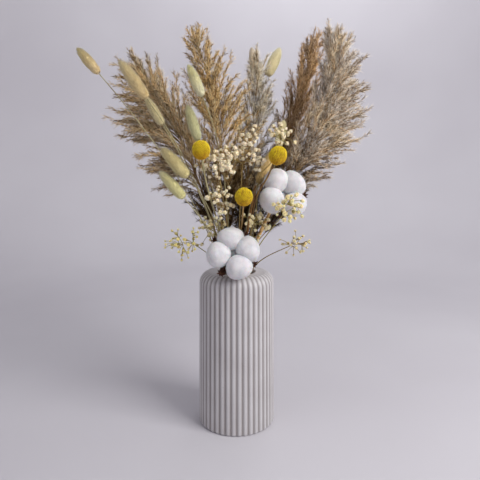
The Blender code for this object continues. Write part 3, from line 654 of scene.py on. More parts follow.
def glaze_finish():
    """Matt glaze: pale on the beads, painted greyer down in the grooves as shade, faintly clouded and finely
    speckled.
    """
    glaze = new_finish("matt white glaze", 0.46, 0.42, Coat_Weight=0.12, Coat_Roughness=0.35)
    depth = mark(glaze, "groove")
    # Painted shade: the glaze darkens from the top of each bead down into its groove.
    body = ramp(glaze, depth, (0.0, GLAZE_ON_BEAD), (0.45, GLAZE_FLANK_SHADE), (1.0, GLAZE_GROOVE_SHADE))
    cloud = ramp(glaze, noise(glaze, 28, 3), (0.35, GLAZE_CLOUD), (0.65, WHITE))
    speck = ramp(glaze, noise(glaze, 900, 2), (0.27, GLAZE_SPECK), (0.33, WHITE))
    bumped(glaze, noise(glaze, 320, 4), 0.00012, 0.5)
    return coloured(glaze, product(glaze, body, cloud, speck))


def add_vase():
    """The section carried round the axis, with the radius drawn in towards each groove by the BEAD_POWER
    of |x|, where x runs from -1 to 1 across a bead."""
    section, strength = vase_section()
    count = RIBS * COLUMNS_PER_RIB
    angles = 2 * math.pi * np.arange(count) / count
    across = ((angles - RIB_TURN) * RIBS / (2 * math.pi)) % 1
    groove = strength[:, None] * np.abs(2 * across - 1) ** BEAD_POWER
    rings = carried_round(section[:, :1] - RIB_DEPTH * groove, section[:, 1:], angles)
    points = np.vstack([[[0, 0, 0]], rings, [[0, 0, FLOOR]]])
    depth = np.concatenate([[0], groove.ravel(), [0]])
    faces = net_faces(len(section), count)
    vase = mesh_object("vase_ribbed_shell", points, faces, glaze_finish(), {"groove": depth})
    stand_for(vase, "glaze", "vase")


add_vase()


# Bunny tails
# Soft oval grass heads on thin straw stems. Each head is an egg of dense down: thousands of fine hairs that
# lie back along it towards its tip. Each has its own shade, from cream and peach to a greenish straw.

HAIRS_PER_TAIL = 2200
HAIR_RADIUS = 0.00022

# In shares of a head's thickness: its core, and how far out its hairs are rooted. In shares of its length: how
# far up they are rooted, and their own length. That and their lean, in degrees, change from foot to tip.
DOWN_CORE = 0.80
HAIR_ROOTS_OUT = 0.70
HAIR_ROOTS_UP = 0.93
HAIR_REACH = (0.14, 0.22)
HAIR_REACH_ALONG = ((0, 0.8, 1), (1, 1, 0.75))
HAIR_LEAN_ALONG = ((0, 0.15, 0.85, 1), (34, 17, 12, 5))

STRAW_GREEN = ((0.62, 0.60, 0.44), (0.74, 0.70, 0.55))
STRAW_PATCH = (0.84, 0.80, 0.74)

# For each head, its colour at the foot and at the tip.
TAIL_SHADES = (
    ((1.00, 0.92, 0.75), (0.98, 0.92, 0.70)),
    ((1.00, 0.92, 0.73), (1.00, 0.94, 0.76)),
    ((0.96, 0.92, 0.76), (0.97, 0.92, 0.74)),
    ((1.00, 0.99, 0.88), (1.00, 0.98, 0.76)),
    ((0.90, 0.90, 0.74), (0.90, 0.89, 0.70)),
    ((0.94, 0.90, 0.70), (0.95, 0.90, 0.70)),
    ((0.98, 0.97, 0.76), (1.00, 0.98, 0.80)),
    ((0.93, 0.89, 0.74), (0.95, 0.92, 0.79)),
    ((0.98, 0.91, 0.80), (0.99, 0.93, 0.85)),
    ((0.97, 0.93, 0.72), (0.98, 0.94, 0.76)),
    ((0.92, 0.82, 0.60), (0.95, 0.85, 0.64)),
)


def smooth(path, steps=5):
    """The path with this many steps between its points, on the cubics that pass through them."""
    path = np.asarray(path, float)
    runs = np.append(0, np.cumsum(np.linalg.norm(np.diff(path, axis=0), axis=1)))
    slopes = np.gradient(path, runs, axis=0)
    gaps = np.diff(runs)[:, None, None]
    t = np.linspace(0, 1, steps, endpoint=False)[None, :, None]
    curve = (
        (2 * t**3 - 3 * t**2 + 1) * path[:-1, None]
        + (t**3 - 2 * t**2 + t) * gaps * slopes[:-1, None]
        + (3 * t**2 - 2 * t**3) * path[1:, None]
        + (t**3 - t**2) * gaps * slopes[1:, None]
    )
    return np.vstack([curve.reshape(-1, 3), path[-1:]])


def square_to(ways):
    """For each direction, another that is square to it."""
    ways = np.asarray(ways, float)
    least = np.eye(3)[np.abs(ways).argmin(axis=-1)]
    return unit(np.cross(ways, least))


def strands(lines, radii, sides=3, flat=1.0, facing=None, blunt=False):
    """Closed slender bodies, many at once. lines (bodies, rings, 3) are their middle lines and radii
    (bodies, rings) their thickness. A corner at angle a is line + radius * (cos a * side + flat * sin a *
    face), with side and face square to the line. A body runs to a point at each end, or ends flat if it is
    blunt. Returns the points as (bodies, points, 3), the triangles, and how far along its body each point
    lies."""
    lines = np.asarray(lines, float)
    bodies, rings = lines.shape[:2]
    tangents = unit(np.gradient(lines, axis=1))
    if facing is None:
        side = np.repeat(square_to(lines[:, -1] - lines[:, 0])[:, None], rings, axis=1)
        face = unit(np.cross(tangents, side))
    else:
        facing = np.broadcast_to(facing, (bodies, 3))[:, None]
        face = unit(facing - tangents * (facing * tangents).sum(2, keepdims=True))
    side = np.cross(face, tangents)
    first, last = (0, rings) if blunt else (1, rings - 1)
    angles = 2 * math.pi * np.arange(sides) / sides
    offsets = np.cos(angles)[:, None] * side[:, :, None] + flat * np.sin(angles)[:, None] * face[:, :, None]
    radii = np.broadcast_to(radii, (bodies, rings))
    corners = (lines[:, :, None] + radii[:, :, None, None] * offsets)[:, first:last]
    points = np.concatenate([lines[:, :1], corners.reshape(bodies, -1, 3), lines[:, -1:]], axis=1)
    template = net_faces(last - first, sides)
    faces = (template[None] + points.shape[1] * np.arange(bodies)[:, None, None]).reshape(-1, 3)
    shares = np.repeat(np.linspace(0, 1, rings)[first:last], sides)
    return points, faces, np.concatenate([[0.0], shares, [1.0]])


def fine_hairs(roots, ends, radius):
    """Straight hairs, many at once: each has three corners round its root, at radius from it, and runs to a
    point. Returns what strands returns."""
    roots, ends = np.asarray(roots, float), np.asarray(ends, float)
    side = square_to(ends - roots)
    face = np.cross(unit(ends - roots), side)
    angles = 2 * math.pi * np.arange(3) / 3
    offsets = np.cos(angles)[:, None] * side[:, None] + np.sin(angles)[:, None] * face[:, None]
    points = np.concatenate([roots[:, None] + radius * offsets, ends[:, None]], axis=1)
    template = np.array([(0, 2, 1), (0, 1, 3), (1, 2, 3), (2, 0, 3)])
    faces = (template[None] + 4 * np.arange(len(roots))[:, None, None]).reshape(-1, 3)
    return points, faces, np.array([0.0, 0.0, 0.0, 1.0])


def bent_lines(roots, ways, bends, lengths, count):
    """Lines that leave their roots along ways: each step goes along way + bend * share ** 1.2, and all
    steps of a line are alike in length."""
    shares = ((np.arange(count - 1) + 0.5) / (count - 1)) ** 1.2
    steps = unit(ways[:, None] + bends[:, None] * shares[None, :, None])
    steps = steps * (lengths / (count - 1))[:, None, None]
    return np.concatenate([roots[:, None], roots[:, None] + np.cumsum(steps, axis=1)], axis=1)


class Heap:
    """Gathers the bodies of one piece, with the marks that its material reads."""

    def __init__(self):
        self.points, self.faces, self.marks, self.count = [], [], {}, 0

    def add(self, made, **marks):
        """made is what strands returns. A mark is one number, or one for each body."""
        points, faces, shares = made
        bodies, size = points.shape[:2]
        self.points.append(points.reshape(-1, 3))
        self.faces.append(faces + self.count)
        self.count += bodies * size
        marks["along"] = marks.get("along", np.tile(shares, bodies))
        for mark, values in marks.items():
            values = np.asarray(values, float)
            if values.size != bodies * size:
                values = np.repeat(np.broadcast_to(values, (bodies,)), size)
            self.marks.setdefault(mark, []).append(values)

    def piece(self, name, finish, slot, *nodes):
        """The finished piece, which stands for these nodes."""
        marks = {mark: np.concatenate(values) for mark, values in self.marks.items()}
        made = mesh_object(name, np.vstack(self.points), np.vstack(self.faces), finish, marks)
        stand_for(made, slot, *nodes)


def add_stalk(name, path, radii, sides, finish, slot, node):
    """A single stalk along this path, flat at both ends, as a piece of its own."""
    stalk = Heap()
    stalk.add(strands(path[None], radii, sides, blunt=True))
    stalk.piece(name, finish, slot, node)


def straw_finish(name, low, high):
    """Dry straw: long fine streaks of two shades, with a low ripple along the stem."""
    straw = new_finish(name, 0.62, 0.35)
    streaks = noise(straw, 700, 3, (1, 1, 0.06))
    body = ramp(straw, streaks, (0.35, low), (0.65, high))
    patches = ramp(straw, noise(straw, 45, 2), (0.3, STRAW_PATCH), (0.62, WHITE))
    bumped(straw, streaks, 0.00008, 0.6)
    return coloured(straw, product(straw, body, patches))


def egg_width(u):
    """An egg's width at share u of its length, beside its widest: sin(pi * u') ** 0.6, where u' is u drawn
    a little towards the foot."""
    return np.sin(math.pi * (0.06 + 0.94 * u) ** 0.85) ** 0.6


def egg(base, tip, radius, rows=22, columns=20):
    """A closed egg between base and tip, with its radius at each row from egg_width."""
    base, tip = np.asarray(base, float), np.asarray(tip, float)
    u = np.linspace(0, 1, rows)
    return strands((base + u[:, None] * (tip - base))[None], radius * egg_width(u), columns)


def tail_hairs(tail, count, rng):
    """Hairs rooted on the egg, each leaning out of it by a little and back towards the tip."""
    base, tip = np.array(tail.base), np.array(tail.tip)
    axis, length = unit(tip - base), np.linalg.norm(tip - base)
    x = square_to(axis)
    y = np.cross(axis, x)
    u = rng.uniform(0.0, 1.0, count) ** 0.92
    turn = rng.uniform(0, 2 * math.pi, count)
    out = np.cos(turn)[:, None] * x + np.sin(turn)[:, None] * y
    up = axis * (length * u * HAIR_ROOTS_UP)[:, None]
    roots = base + up + out * (tail.radius * HAIR_ROOTS_OUT * egg_width(u))[:, None]
    lean = np.radians(np.interp(u, *HAIR_LEAN_ALONG) + rng.normal(0, 4, count))[:, None]
    ways = unit(np.cos(lean) * axis + np.sin(lean) * out + rng.normal(0, 0.05, (count, 3)))
    reach = rng.uniform(*HAIR_REACH, count) * length * np.interp(u, *HAIR_REACH_ALONG)
    return roots, roots + ways * reach[:, None], u


def down_finish(name, foot, tip):
    """Down: each hair runs from the head's own shade to a paler end, and no two are quite alike."""
    down = new_finish(name, 0.78, 0.2, Sheen_Weight=0.15, Sheen_Roughness=0.5)
    body = ramp(down, mark(down, "share"), (0.1, foot), (0.9, tip))
    along = mark(down, "along")
    ends = ramp(down, along, (0.0, (0.84, 0.82, 0.76)), (0.55, (1, 1, 0.98)), (1.0, (1, 1, 0.98)))
    tones = ramp(down, mark(down, "tone"), (0.0, (0.93, 0.91, 0.87)), (0.8, WHITE))
    return coloured(down, product(down, body, ends, tones))


def add_tail(index):
    tail, path = TAILS[index], smooth(paths[owners["tail", index]])
    label = f"{index + 1:02d}"
    rng = np.random.default_rng(100 + index)
    head = Heap()
    core = egg(tail.base, tail.tip, tail.radius * DOWN_CORE)
    head.add(core, tone=0.3, share=core[2], along=0.35)
    roots, ends, u = tail_hairs(tail, HAIRS_PER_TAIL, rng)
    head.add(fine_hairs(roots, ends, HAIR_RADIUS), tone=rng.uniform(0, 1, len(u)), share=u)
    finish = down_finish(f"down {label}", *TAIL_SHADES[index])
    head.piece(f"bunny_tail_down_{label}", finish, "tail_head", f"bunny_tail_head_{label}")
    radii = np.linspace(TAIL_STEM, 0.75 * TAIL_STEM, len(path))
    stalk, node = f"bunny_tail_stalk_{label}", f"bunny_tail_stem_{label}"
    add_stalk(stalk, path, radii, 6, straw_green, "stalk", node)


straw_green = straw_finish("green straw", *STRAW_GREEN)
for index in range(len(TAILS)):
    add_tail(index)


# Globe flowers
# A craspedia head is a hard ball of several hundred tiny tube florets, packed in spirals. They are bright
# yellow on top, and painted shade runs them to mustard and a burnt orange in the gaps and low down.

FLORETS_PER_GLOBE = 420
BALL_SHARE = 0.94
TUBE_FOOT = 0.82
TUBE_PLACES = (0.0, 0.62, 0.90, 1.0)
TUBE_RADII = (0.0, 0.00088, 0.00066, 0.0)


def spiral_ways(count, lowest=-1.0):
    """Directions spread evenly over a sphere, or over the part of it above lowest, along one spiral."""
    k = np.arange(count) + 0.5
    z = 1 - (1 - lowest) * k / count
    turn = math.pi * (3 - math.sqrt(5)) * k
    flat = np.sqrt(np.maximum(1 - z * z, 0))
    return np.column_stack([flat * np.cos(turn), flat * np.sin(turn), z])


def turned_to(ways, axis):
    """Directions given about +Z, turned to stand about axis. Works for one axis or for one for each row of
    ways."""
    axis = unit(axis)
    x = square_to(axis)
    y = np.cross(axis, x)
    return ways[..., :1] * x + ways[..., 1:2] * y + ways[..., 2:] * axis


def globe_finish():
    """Yellow florets with painted shade: orange down in the gaps, mustard low on the ball, bright at the top.
    """
    petals = new_finish("globe yellow", 0.72, 0.3, Sheen_Weight=0.15)
    # Painted shade: each floret darkens to orange towards its foot, down in the gaps between florets.
    depth = ramp(petals, mark(petals, "along"), (0.30, (0.62, 0.36, 0.03)), (0.60, (0.93, 0.80, 0.06)),
                 (1.0, (1.0, 0.97, 0.13)))
    # Painted shade: the ball is darker on its underside, by height.
    height = ramp(petals, mark(petals, "height"), (0.1, (0.92, 0.82, 0.60)), (0.6, (1, 1, 0.98)))
    tones = ramp(petals, mark(petals, "tone"), (0.0, (0.80, 0.74, 0.6)), (0.5, WHITE))
    return coloured(petals, product(petals, depth, height, tones))


def add_globe(index):
    globe, path = GLOBES[index], smooth(paths[owners["globe", index]])
    label = f"{index + 1:02d}"
    rng = np.random.default_rng(200 + index)
    axis, centre = unit(globe.lean), np.array(globe.centre)
    ways = turned_to(spiral_ways(FLORETS_PER_GLOBE), axis)
    stretch = 1 + GLOBE_STRETCH * (ways @ axis)[:, None] ** 2
    tops = (GLOBE_RADIUS + GLOBE_BUMP * rng.uniform(0.45, 1.0, (len(ways), 1))) * stretch
    places = np.array(TUBE_PLACES)[None, :, None]
    foot, top = ways * GLOBE_RADIUS * TUBE_FOOT, ways * tops
    tubes = centre + foot[:, None] * (1 - places) + top[:, None] * places
    rows = np.linspace(-1, 1, 16)
    ball = centre + rows[:, None] * axis * GLOBE_RADIUS * BALL_SHARE * (1 + GLOBE_STRETCH)
    ball_radii = GLOBE_RADIUS * BALL_SHARE * np.sqrt(np.maximum(1 - rows**2, 0))
    head = Heap()
    head.add(strands(ball[None], ball_radii, 24), along=0.35, tone=0.5, height=0.5)
    tones, heights = rng.uniform(0, 1, len(ways)), 0.5 + 0.5 * ways[:, 2]
    head.add(strands(tubes, np.array(TUBE_RADII), 5), tone=tones, height=heights)
    head.piece(f"globe_florets_{label}", globe_yellow, "globe", f"globe_head_{label}")
    stalk, node = f"globe_stalk_{label}", f"globe_stem_{label}"
    add_stalk(stalk, path, GLOBE_STEM, 7, globe_straws[index], "stalk", node)


globe_yellow = globe_finish()
straw_brown = straw_finish("brown straw", (0.42, 0.32, 0.18), (0.58, 0.46, 0.28))
straw_tan = straw_finish("tan straw", (0.60, 0.48, 0.30), (0.72, 0.60, 0.40))
globe_straws = (straw_green, straw_brown, straw_tan)
for index in range(len(GLOBES)):
    add_globe(index)


# Cotton
# Opened bolls: four locks of white lint bulge from a dry brown husk. Its pointed valves show between them,
# each with a star of dry bracts at its end. The lint is soft and finely combed, with loose fibres, and the
# stems are woody.

LINT_COLUMNS = 42
LINT_ROWS = 28
LINT_SWELLING = 0.055
INWARD = 0.32
LINT_FIBRES = 1200
FIBRE_REACH = (0.003, 0.007)
FIBRE_RADIUS = 0.00009
LINT_CORE = 0.0075
LINT_CORE_BACK = 0.009
CUP_PLACES = (0, 0.3, 0.55, 0.85, 1)
CUP_RADII = (COTTON_STEM, 0.0042, 0.0085, 0.0100, 0.0060)
VALVE_COLUMNS = 9
VALVE_WIDTHS = ((0, 0.35, 0.7, 0.92, 1), (0.55, 1.0, 0.72, 0.26, 0.05))
VALVE_CURL = 0.30
HUSK_THICK = 0.0008
BRACT_TURNS = (-112.0, -54.0, -6.0, 46.0, 105.0)
BRACT_LENGTHS = (0.0060, 0.0080, 0.0085, 0.0085, 0.0065)
BRACT_RADII = (0.0, 0.0014, 0.0012, 0.0009, 0.0005, 0.0)


def soft_waves(ways, rng, waves=7, lowest=1.5, highest=4.5):
    """A smooth random height over directions, from about -1 to 1: a sum of sines along random ways."""
    along = unit(rng.normal(size=(waves, 3))) * rng.uniform(lowest, highest, (waves, 1))
    phase = rng.uniform(0, 2 * math.pi, waves)
    return np.sin(ways @ along.T + phase).mean(axis=-1) * 1.6


def lock_points(ways, boll, degrees, rng):
    """Where these directions meet a lock of lint: an egg on the lobe's axes, drawn out by a third towards
    the boll's middle, with soft swellings."""
    face, out = unit(boll.face), around(boll, degrees)
    frame_of = np.stack([out, np.cross(face, out), face])
    puff = (1 + LINT_SWELLING * soft_waves(ways, rng)) * (1 + INWARD * np.maximum(-ways[:, 0], 0) ** 2)
    centre = np.array(boll.centre) + LOBE_OFFSET * out
    return centre + ((ways * np.array(LOBE_AXES)) * puff[:, None]) @ frame_of


def loose_fibres(boll, degrees, seed, rng):
    """Short fine fibres that lie on a lock of lint, each with its middle lifted off it by a hair."""
    ways = unit(rng.normal(size=(LINT_FIBRES // len(boll.lobes), 3)))
    roots = lock_points(ways, boll, degrees, np.random.default_rng(seed))
    normal = unit(roots - (np.array(boll.centre) + LOBE_OFFSET * around(boll, degrees)))
    lay = unit(np.cross(normal, rng.normal(size=ways.shape)))
    reach = rng.uniform(*FIBRE_REACH, (len(ways), 1))
    middles = roots + lay * reach * 0.5 + normal * 0.0005
    ends = roots + lay * reach + normal * rng.uniform(-0.0008, 0.0008, (len(ways), 1))
    lines = np.stack([roots - normal * 0.0004, middles, ends], axis=1)
    return strands(lines, [0.0, FIBRE_RADIUS, 0.0])


def add_lint(boll, number):
    """Each lock, the core that joins them, and the loose fibres. The lint's colour doesn't follow tone."""
    rng = np.random.default_rng(300 + number)
    polar = math.pi * (np.arange(LINT_ROWS) + 0.5) / LINT_ROWS
    turn = 2 * math.pi * np.arange(LINT_COLUMNS) / LINT_COLUMNS
    rings = carried_round(np.sin(polar)[:, None], -np.cos(polar)[:, None], turn)
    net = np.vstack([[[0, 0, -1]], rings, [[0, 0, 1]]])
    faces, shares = net_faces(LINT_ROWS, LINT_COLUMNS), np.zeros(len(net))
    lint = Heap()
    for degrees in boll.lobes:
        seed = rng.integers(1e6)
        lock = lock_points(net, boll, degrees, np.random.default_rng(seed))
        lint.add((lock[None], faces, shares), tone=0.5)
        fibres = loose_fibres(boll, degrees, seed, rng)
        lint.add(fibres, tone=rng.uniform(0, 1, len(fibres[0])))
    core = np.array(boll.centre) - LINT_CORE_BACK * unit(boll.face) + LINT_CORE * net
    lint.add((core[None], faces, shares), tone=0.5)
    lint.piece(f"cotton_lint_{boll.name}", cotton_white, "cotton", f"cotton_lobes_{boll.name}")


def lint_finish():
    """Combed lint: nearly white, with fine soft streaks and shallow dimples."""
    lint = new_finish("cotton lint", 0.95, 0.1, Sheen_Weight=0.35, Sheen_Roughness=0.6,
                      Subsurface_Weight=0.25, Subsurface_Scale=0.004)
    bumped(lint, mixed(lint, 0.5, noise(lint, 420, 5), noise(lint, 90, 3)), 0.0006, 0.6)
    cloud = ramp(lint, noise(lint, 130, 4), (0.3, (0.785, 0.78, 0.79)), (0.65, (0.86, 0.857, 0.86)))
    return coloured(lint, cloud)


def valve_shell(boll, out):
    """A husk valve: a thin curved leaf carried along its line, broad at a third and pointed at the end,
    with its edges curled forward by a share of the square of the distance from the middle."""
    line = smooth(valve_line(boll, out), 3)[1:]
    u = np.linspace(0, 1, len(line))
    side = unit(np.cross(out, unit(boll.face)))
    half = 0.5 * HUSK_WIDTH * np.interp(u, *VALVE_WIDTHS)
    across = np.linspace(-1, 1, VALVE_COLUMNS)
    normal = np.cross(side, unit(np.gradient(line, axis=0)))[:, None]
    curl = VALVE_CURL * half[:, None] * across**2
    sheet = line[:, None] + side * (half[:, None] * across)[..., None] - normal * curl[..., None]
    thick = HUSK_THICK * np.interp(np.abs(across), (0, 1), (1.0, 0.3))
    back = sheet - normal * thick[None, :, None]
    loop = np.concatenate([sheet, back[:, ::-1]], axis=1)
    points = np.vstack([loop[0].mean(0)[None], loop.reshape(-1, 3), loop[-1].mean(0)[None]])
    shares = np.concatenate([[0], np.repeat(u, 2 * VALVE_COLUMNS), [1]])
    return points[None], net_faces(len(line), 2 * VALVE_COLUMNS), shares


def valve_points(boll, out):
    """The dry bracts at a valve's end: slender points that spread from it like a star, each bent a little
    forward."""
    line, face = smooth(valve_line(boll, out), 3), unit(boll.face)
    root, way = line[-3], unit(line[-1] - line[-3])
    turns = np.radians(BRACT_TURNS)[:, None]
    ways = np.cos(turns) * way + np.sin(turns) * np.cross(way, face)
    bends = np.broadcast_to(0.15 * face, ways.shape)
    lengths = np.array(BRACT_LENGTHS)
    lines = bent_lines(np.repeat(root[None], len(ways), axis=0), ways, bends, lengths, len(BRACT_RADII))
    return strands(lines, BRACT_RADII, 6, 0.5, face)


def husk_finish():
    """A dry husk: wrinkled leathery brown, paler at the foot of each part and darkest at its end."""
    husk = new_finish("dry husk", 0.66, 0.35)
    grain = noise(husk, 420, 5)
    body = ramp(husk, grain, (0.3, (0.17, 0.09, 0.06)), (0.7, (0.36, 0.20, 0.12)))
    worn = ramp(husk, mark(husk, "along"), (0.0, (0.55, 0.38, 0.22)), (0.35, (0.30, 0.17, 0.11)),
                (1.0, (0.22, 0.12, 0.09)))
    bumped(husk, grain, 0.0003, 0.8)
    return coloured(husk, mixed(husk, 0.5, body, worn))


def bark_finish(name, low, high):
    """Thin bark: long fibres in two shades, with small darker scars."""
    bark = new_finish(name, 0.75, 0.3)
    fibres = noise(bark, 520, 5, (1, 1, 0.10))
    body = ramp(bark, fibres, (0.33, low), (0.66, high))
    scars = ramp(bark, noise(bark, 150, 3), (0.30, (0.45, 0.33, 0.24)), (0.40, WHITE))
    bumped(bark, fibres, 0.00022, 0.8)
    return coloured(bark, product(bark, body, scars))


def knotted(length, radius, rng, knots=5):
    """Radii along a woody stem: nearly even, with a few low swellings where leaves were."""
    u = np.linspace(0, 1, length)
    places = rng.uniform(0.3, 0.97, knots)
    swell = np.exp(-(((u[:, None] - places) / 0.012) ** 2)).sum(axis=1)
    return radius * (0.94 + 0.03 * np.sin(37 * u) + 0.18 * np.minimum(swell, 1))


def add_boll(index):
    boll, path = BOLLS[index], smooth(paths[owners["boll", index]], 8)
    add_lint(boll, index)
    husk = Heap()
    back, face = husk_back(boll), unit(boll.face)
    cup = smooth([stalk_end(boll), back - face * 0.001, back + face * 0.004, back + face * 0.006], 4)
    cup_radii = np.interp(np.linspace(0, 1, len(cup)), CUP_PLACES, CUP_RADII)
    husk.add(strands(cup[None], cup_radii, 20, blunt=True))
    for out in valve_outs(boll):
        husk.add(valve_shell(boll, out))
        husk.add(valve_points(boll, out))
    husk.piece(f"cotton_valves_{boll.name}", husk_brown, "husk", f"cotton_husk_{boll.name}")
    radii = knotted(len(path), COTTON_STEM, np.random.default_rng(320 + index))
    branch, node = f"cotton_branch_{boll.name}", f"cotton_stem_{boll.name}"
    add_stalk(branch, path, radii, 10, golden_bark, "bark", node)


cotton_white = lint_finish()
husk_brown = husk_finish()
golden_bark = bark_finish("golden bark", (0.80, 0.62, 0.38), (0.98, 0.82, 0.56))
red_bark = bark_finish("red bark", (0.60, 0.42, 0.25), (0.80, 0.60, 0.37))
for index in range(len(BOLLS)):
    add_boll(index)
twig_path = smooth(paths[owners["twig", 0]], 8)
twig_radii = knotted(len(twig_path), COTTON_STEM, np.random.default_rng(330))
twig_radii = twig_radii * np.linspace(1, 0.8, len(twig_path))
add_stalk("cotton_bare_twig", twig_path, twig_radii, 10, red_bark, "bark", "cotton_twig")


# Small florets
# Sprays of gypsophila: wiry forked stalks, each ending in a small double flower of many cream petals on a
# tan cup. Smaller buds stand on short stalks between them.

FLORET_RADIUS = 0.0032
SPRAY_STALK = 0.0005
PETALS = 17
BUDS_PER_FLORET = 3
BUD_ROOTS = (0.35, 0.85)
BUD_SHOOTS = (0.005, 0.012)
BUD_SCATTER = 0.0025
STALK_RADII = (0.0003, 0.00034, 0.0003, 0.00028, 0.00024)

# Lines in a flower, in shares of its radius: a petal's points out from the middle and up, its widths, and
# the places on the flower's axis and the radii there of its heart and its cup.
PETAL_CURVE = ((0.1, -0.3), (0.55, -0.10), (0.92, 0.0), (1.0, 0.22))
PETAL_WIDTHS = (0.0, 0.36, 0.34, 0.0)
HEART_PLACES = (-0.45, -0.25, 0.15, 0.50, 0.66)
HEART_RADII = (0.0, 0.50, 0.62, 0.42, 0.0)
CUP_DEPTHS = (-0.95, -0.65, -0.25, 0.0)
CUP_WIDTHS = (0.0, 0.42, 0.62, 0.0)

# For each spray, its petals' colour, its stalks' colour, and the size of its flowers beside the largest.
SPRAY_SHADES = (
    ((1.00, 0.97, 0.89), (0.76, 0.65, 0.40), 1.00),
    ((1.00, 0.97, 0.89), (0.76, 0.65, 0.40), 1.00),
    ((0.99, 0.96, 0.86), (0.72, 0.65, 0.40), 0.95),
    ((0.99, 0.96, 0.86), (0.74, 0.63, 0.38), 0.95),
    ((0.98, 0.95, 0.82), (0.72, 0.64, 0.36), 0.85),
    ((0.99, 0.96, 0.80), (0.74, 0.70, 0.40), 0.90),
    ((0.98, 0.94, 0.68), (0.70, 0.66, 0.38), 0.66),
    ((0.96, 0.92, 0.76), (0.66, 0.58, 0.32), 0.62),
    ((0.98, 0.95, 0.80), (0.70, 0.64, 0.36), 0.85),
)


def over_vase(spot):
    margin = 2 * FLORET_RADIUS
    return spot[2] > VASE_HEIGHT + margin or math.hypot(spot[0], spot[1]) > BASE_RADIUS + margin


def grow_spray(spray, path, space, owner):
    """Florets at seeded places in the spray's cloud, each on a stalk from the nearest fork below it."""
    rng = np.random.default_rng(spray.seed)
    centre, half = np.array(spray.centre), np.array(spray.half)
    forks, florets, stalks = list(path[-3:]), [], []
    for _ in range(spray.florets * 60):
        if len(florets) == spray.florets:
            break
        spot = centre + half * unit(rng.normal(size=3)) * rng.uniform(0.35, 1.0) ** 0.5
        if florets and min(np.linalg.norm(spot - f) for f in florets) < 2.1 * FLORET_RADIUS:
            continue
        fork = min(forks, key=lambda q: np.linalg.norm(spot - q) + 0.5 * np.linalg.norm(q - path[-1]))
        stalk, floret = [fork, spot], [spot, spot + 1e-5]
        free = space.gap(owner, stalk, [SPRAY_STALK] * 2) > CLEAR
        if not free or not over_vase(spot) or space.gap(owner, floret, [FLORET_RADIUS] * 2) < CLEAR:
            continue
        florets.append(spot)
        forks.append(0.5 * (fork + spot))
        stalks.append(stalk)
        space.add(owner, stalk, [SPRAY_STALK] * 2)
        space.add(owner, floret, [FLORET_RADIUS] * 2)
    return np.array(florets), np.array(stalks)


def grow_buds(florets, stalks, space, owner, rng):
    """Smaller flowers on short stalks that leave each floret's stalk, where there is room for them."""
    buds, shoots = [], []
    for stalk in stalks:
        for _ in range(BUDS_PER_FLORET * 4):
            root = stalk[0] + (stalk[1] - stalk[0]) * rng.uniform(*BUD_ROOTS)
            spot = root + unit(stalk[1] - stalk[0] + rng.normal(0, 0.006, 3)) * rng.uniform(*BUD_SHOOTS)
            spot = spot + rng.normal(0, BUD_SCATTER, 3)
            others = np.vstack([florets, buds]) if buds else florets
            near = np.linalg.norm(others - spot, axis=1).min() < 1.7 * FLORET_RADIUS
            if near or not over_vase(spot):
                continue
            if space.gap(owner, [spot, spot + 1e-5], [0.8 * FLORET_RADIUS] * 2) < 0:
                continue
            buds.append(spot)
            shoots.append([root, spot])
            if len(buds) >= BUDS_PER_FLORET * len(florets):
                return np.array(buds), np.array(shoots)
    return np.array(buds).reshape(-1, 3), np.array(shoots).reshape(-1, 2, 3)


def petal_lines(centres, axes, radii, rng):
    """For each flower, petals on a spiral over its top half and a little below: each a line out from its
    middle that curls up at the end. Returns the lines, the widths and the way each petal's flat side
    faces."""
    ways = spiral_ways(PETALS, -0.35)
    spin = rng.uniform(0, 2 * math.pi, (len(centres), 1))
    turned = np.stack([np.cos(spin) * ways[:, 0] - np.sin(spin) * ways[:, 1],
                       np.sin(spin) * ways[:, 0] + np.cos(spin) * ways[:, 1],
                       np.broadcast_to(ways[:, 2], (len(centres), PETALS))], axis=2)
    out = turned_to(turned, axes[:, None])
    reach = radii[:, None, None] * rng.uniform(0.88, 1.12, (len(centres), PETALS, 1))
    centre, axis = centres[:, None], axes[:, None]
    lines = np.stack([centre + reach * (far * out + up * axis) for far, up in PETAL_CURVE], axis=2)
    widths = reach * np.array(PETAL_WIDTHS)
    facing = np.broadcast_to(axis, out.shape) + 0.35 * out
    return lines.reshape(-1, 4, 3), widths.reshape(-1, 4), facing.reshape(-1, 3)


def on_axes(centres, axes, radii, places, widths):
    """A line along each flower's axis through these places, and its radii: both in shares of the flower's
    radius."""
    lines = centres[:, None] + (axes * radii[:, None])[:, None] * np.array(places)[:, None]
    return lines, radii[:, None] * np.array(widths)


def petal_finish(name, colour):
    """Dry petals: cream, tan at the root and paler at the edge, each flower a little different."""
    petals = new_finish(name, 0.8, 0.2, Subsurface_Weight=0.1, Subsurface_Scale=0.001)
    along = mark(petals, "along")
    depth = ramp(petals, along, (0.1, (0.93, 0.86, 0.70)), (0.45, (1, 0.98, 0.94)), (1.0, WHITE))
    tones = ramp(petals, mark(petals, "tone"), (0.0, (0.95, 0.92, 0.85)), (0.5, WHITE))
    return coloured(petals, product(petals, tones, tint(*colour), depth))


def bowed(stalks, lift=0.08):
    """Each straight stalk as five points, bowed up a little between its ends."""
    u = np.linspace(0, 1, 5)[None, :, None]
    start, end = stalks[:, :1], stalks[:, 1:]
    length = np.linalg.norm(end - start, axis=2, keepdims=True)
    return start + (end - start) * u + np.array((0, 0, 1.0)) * length * lift * 4 * u * (1 - u)


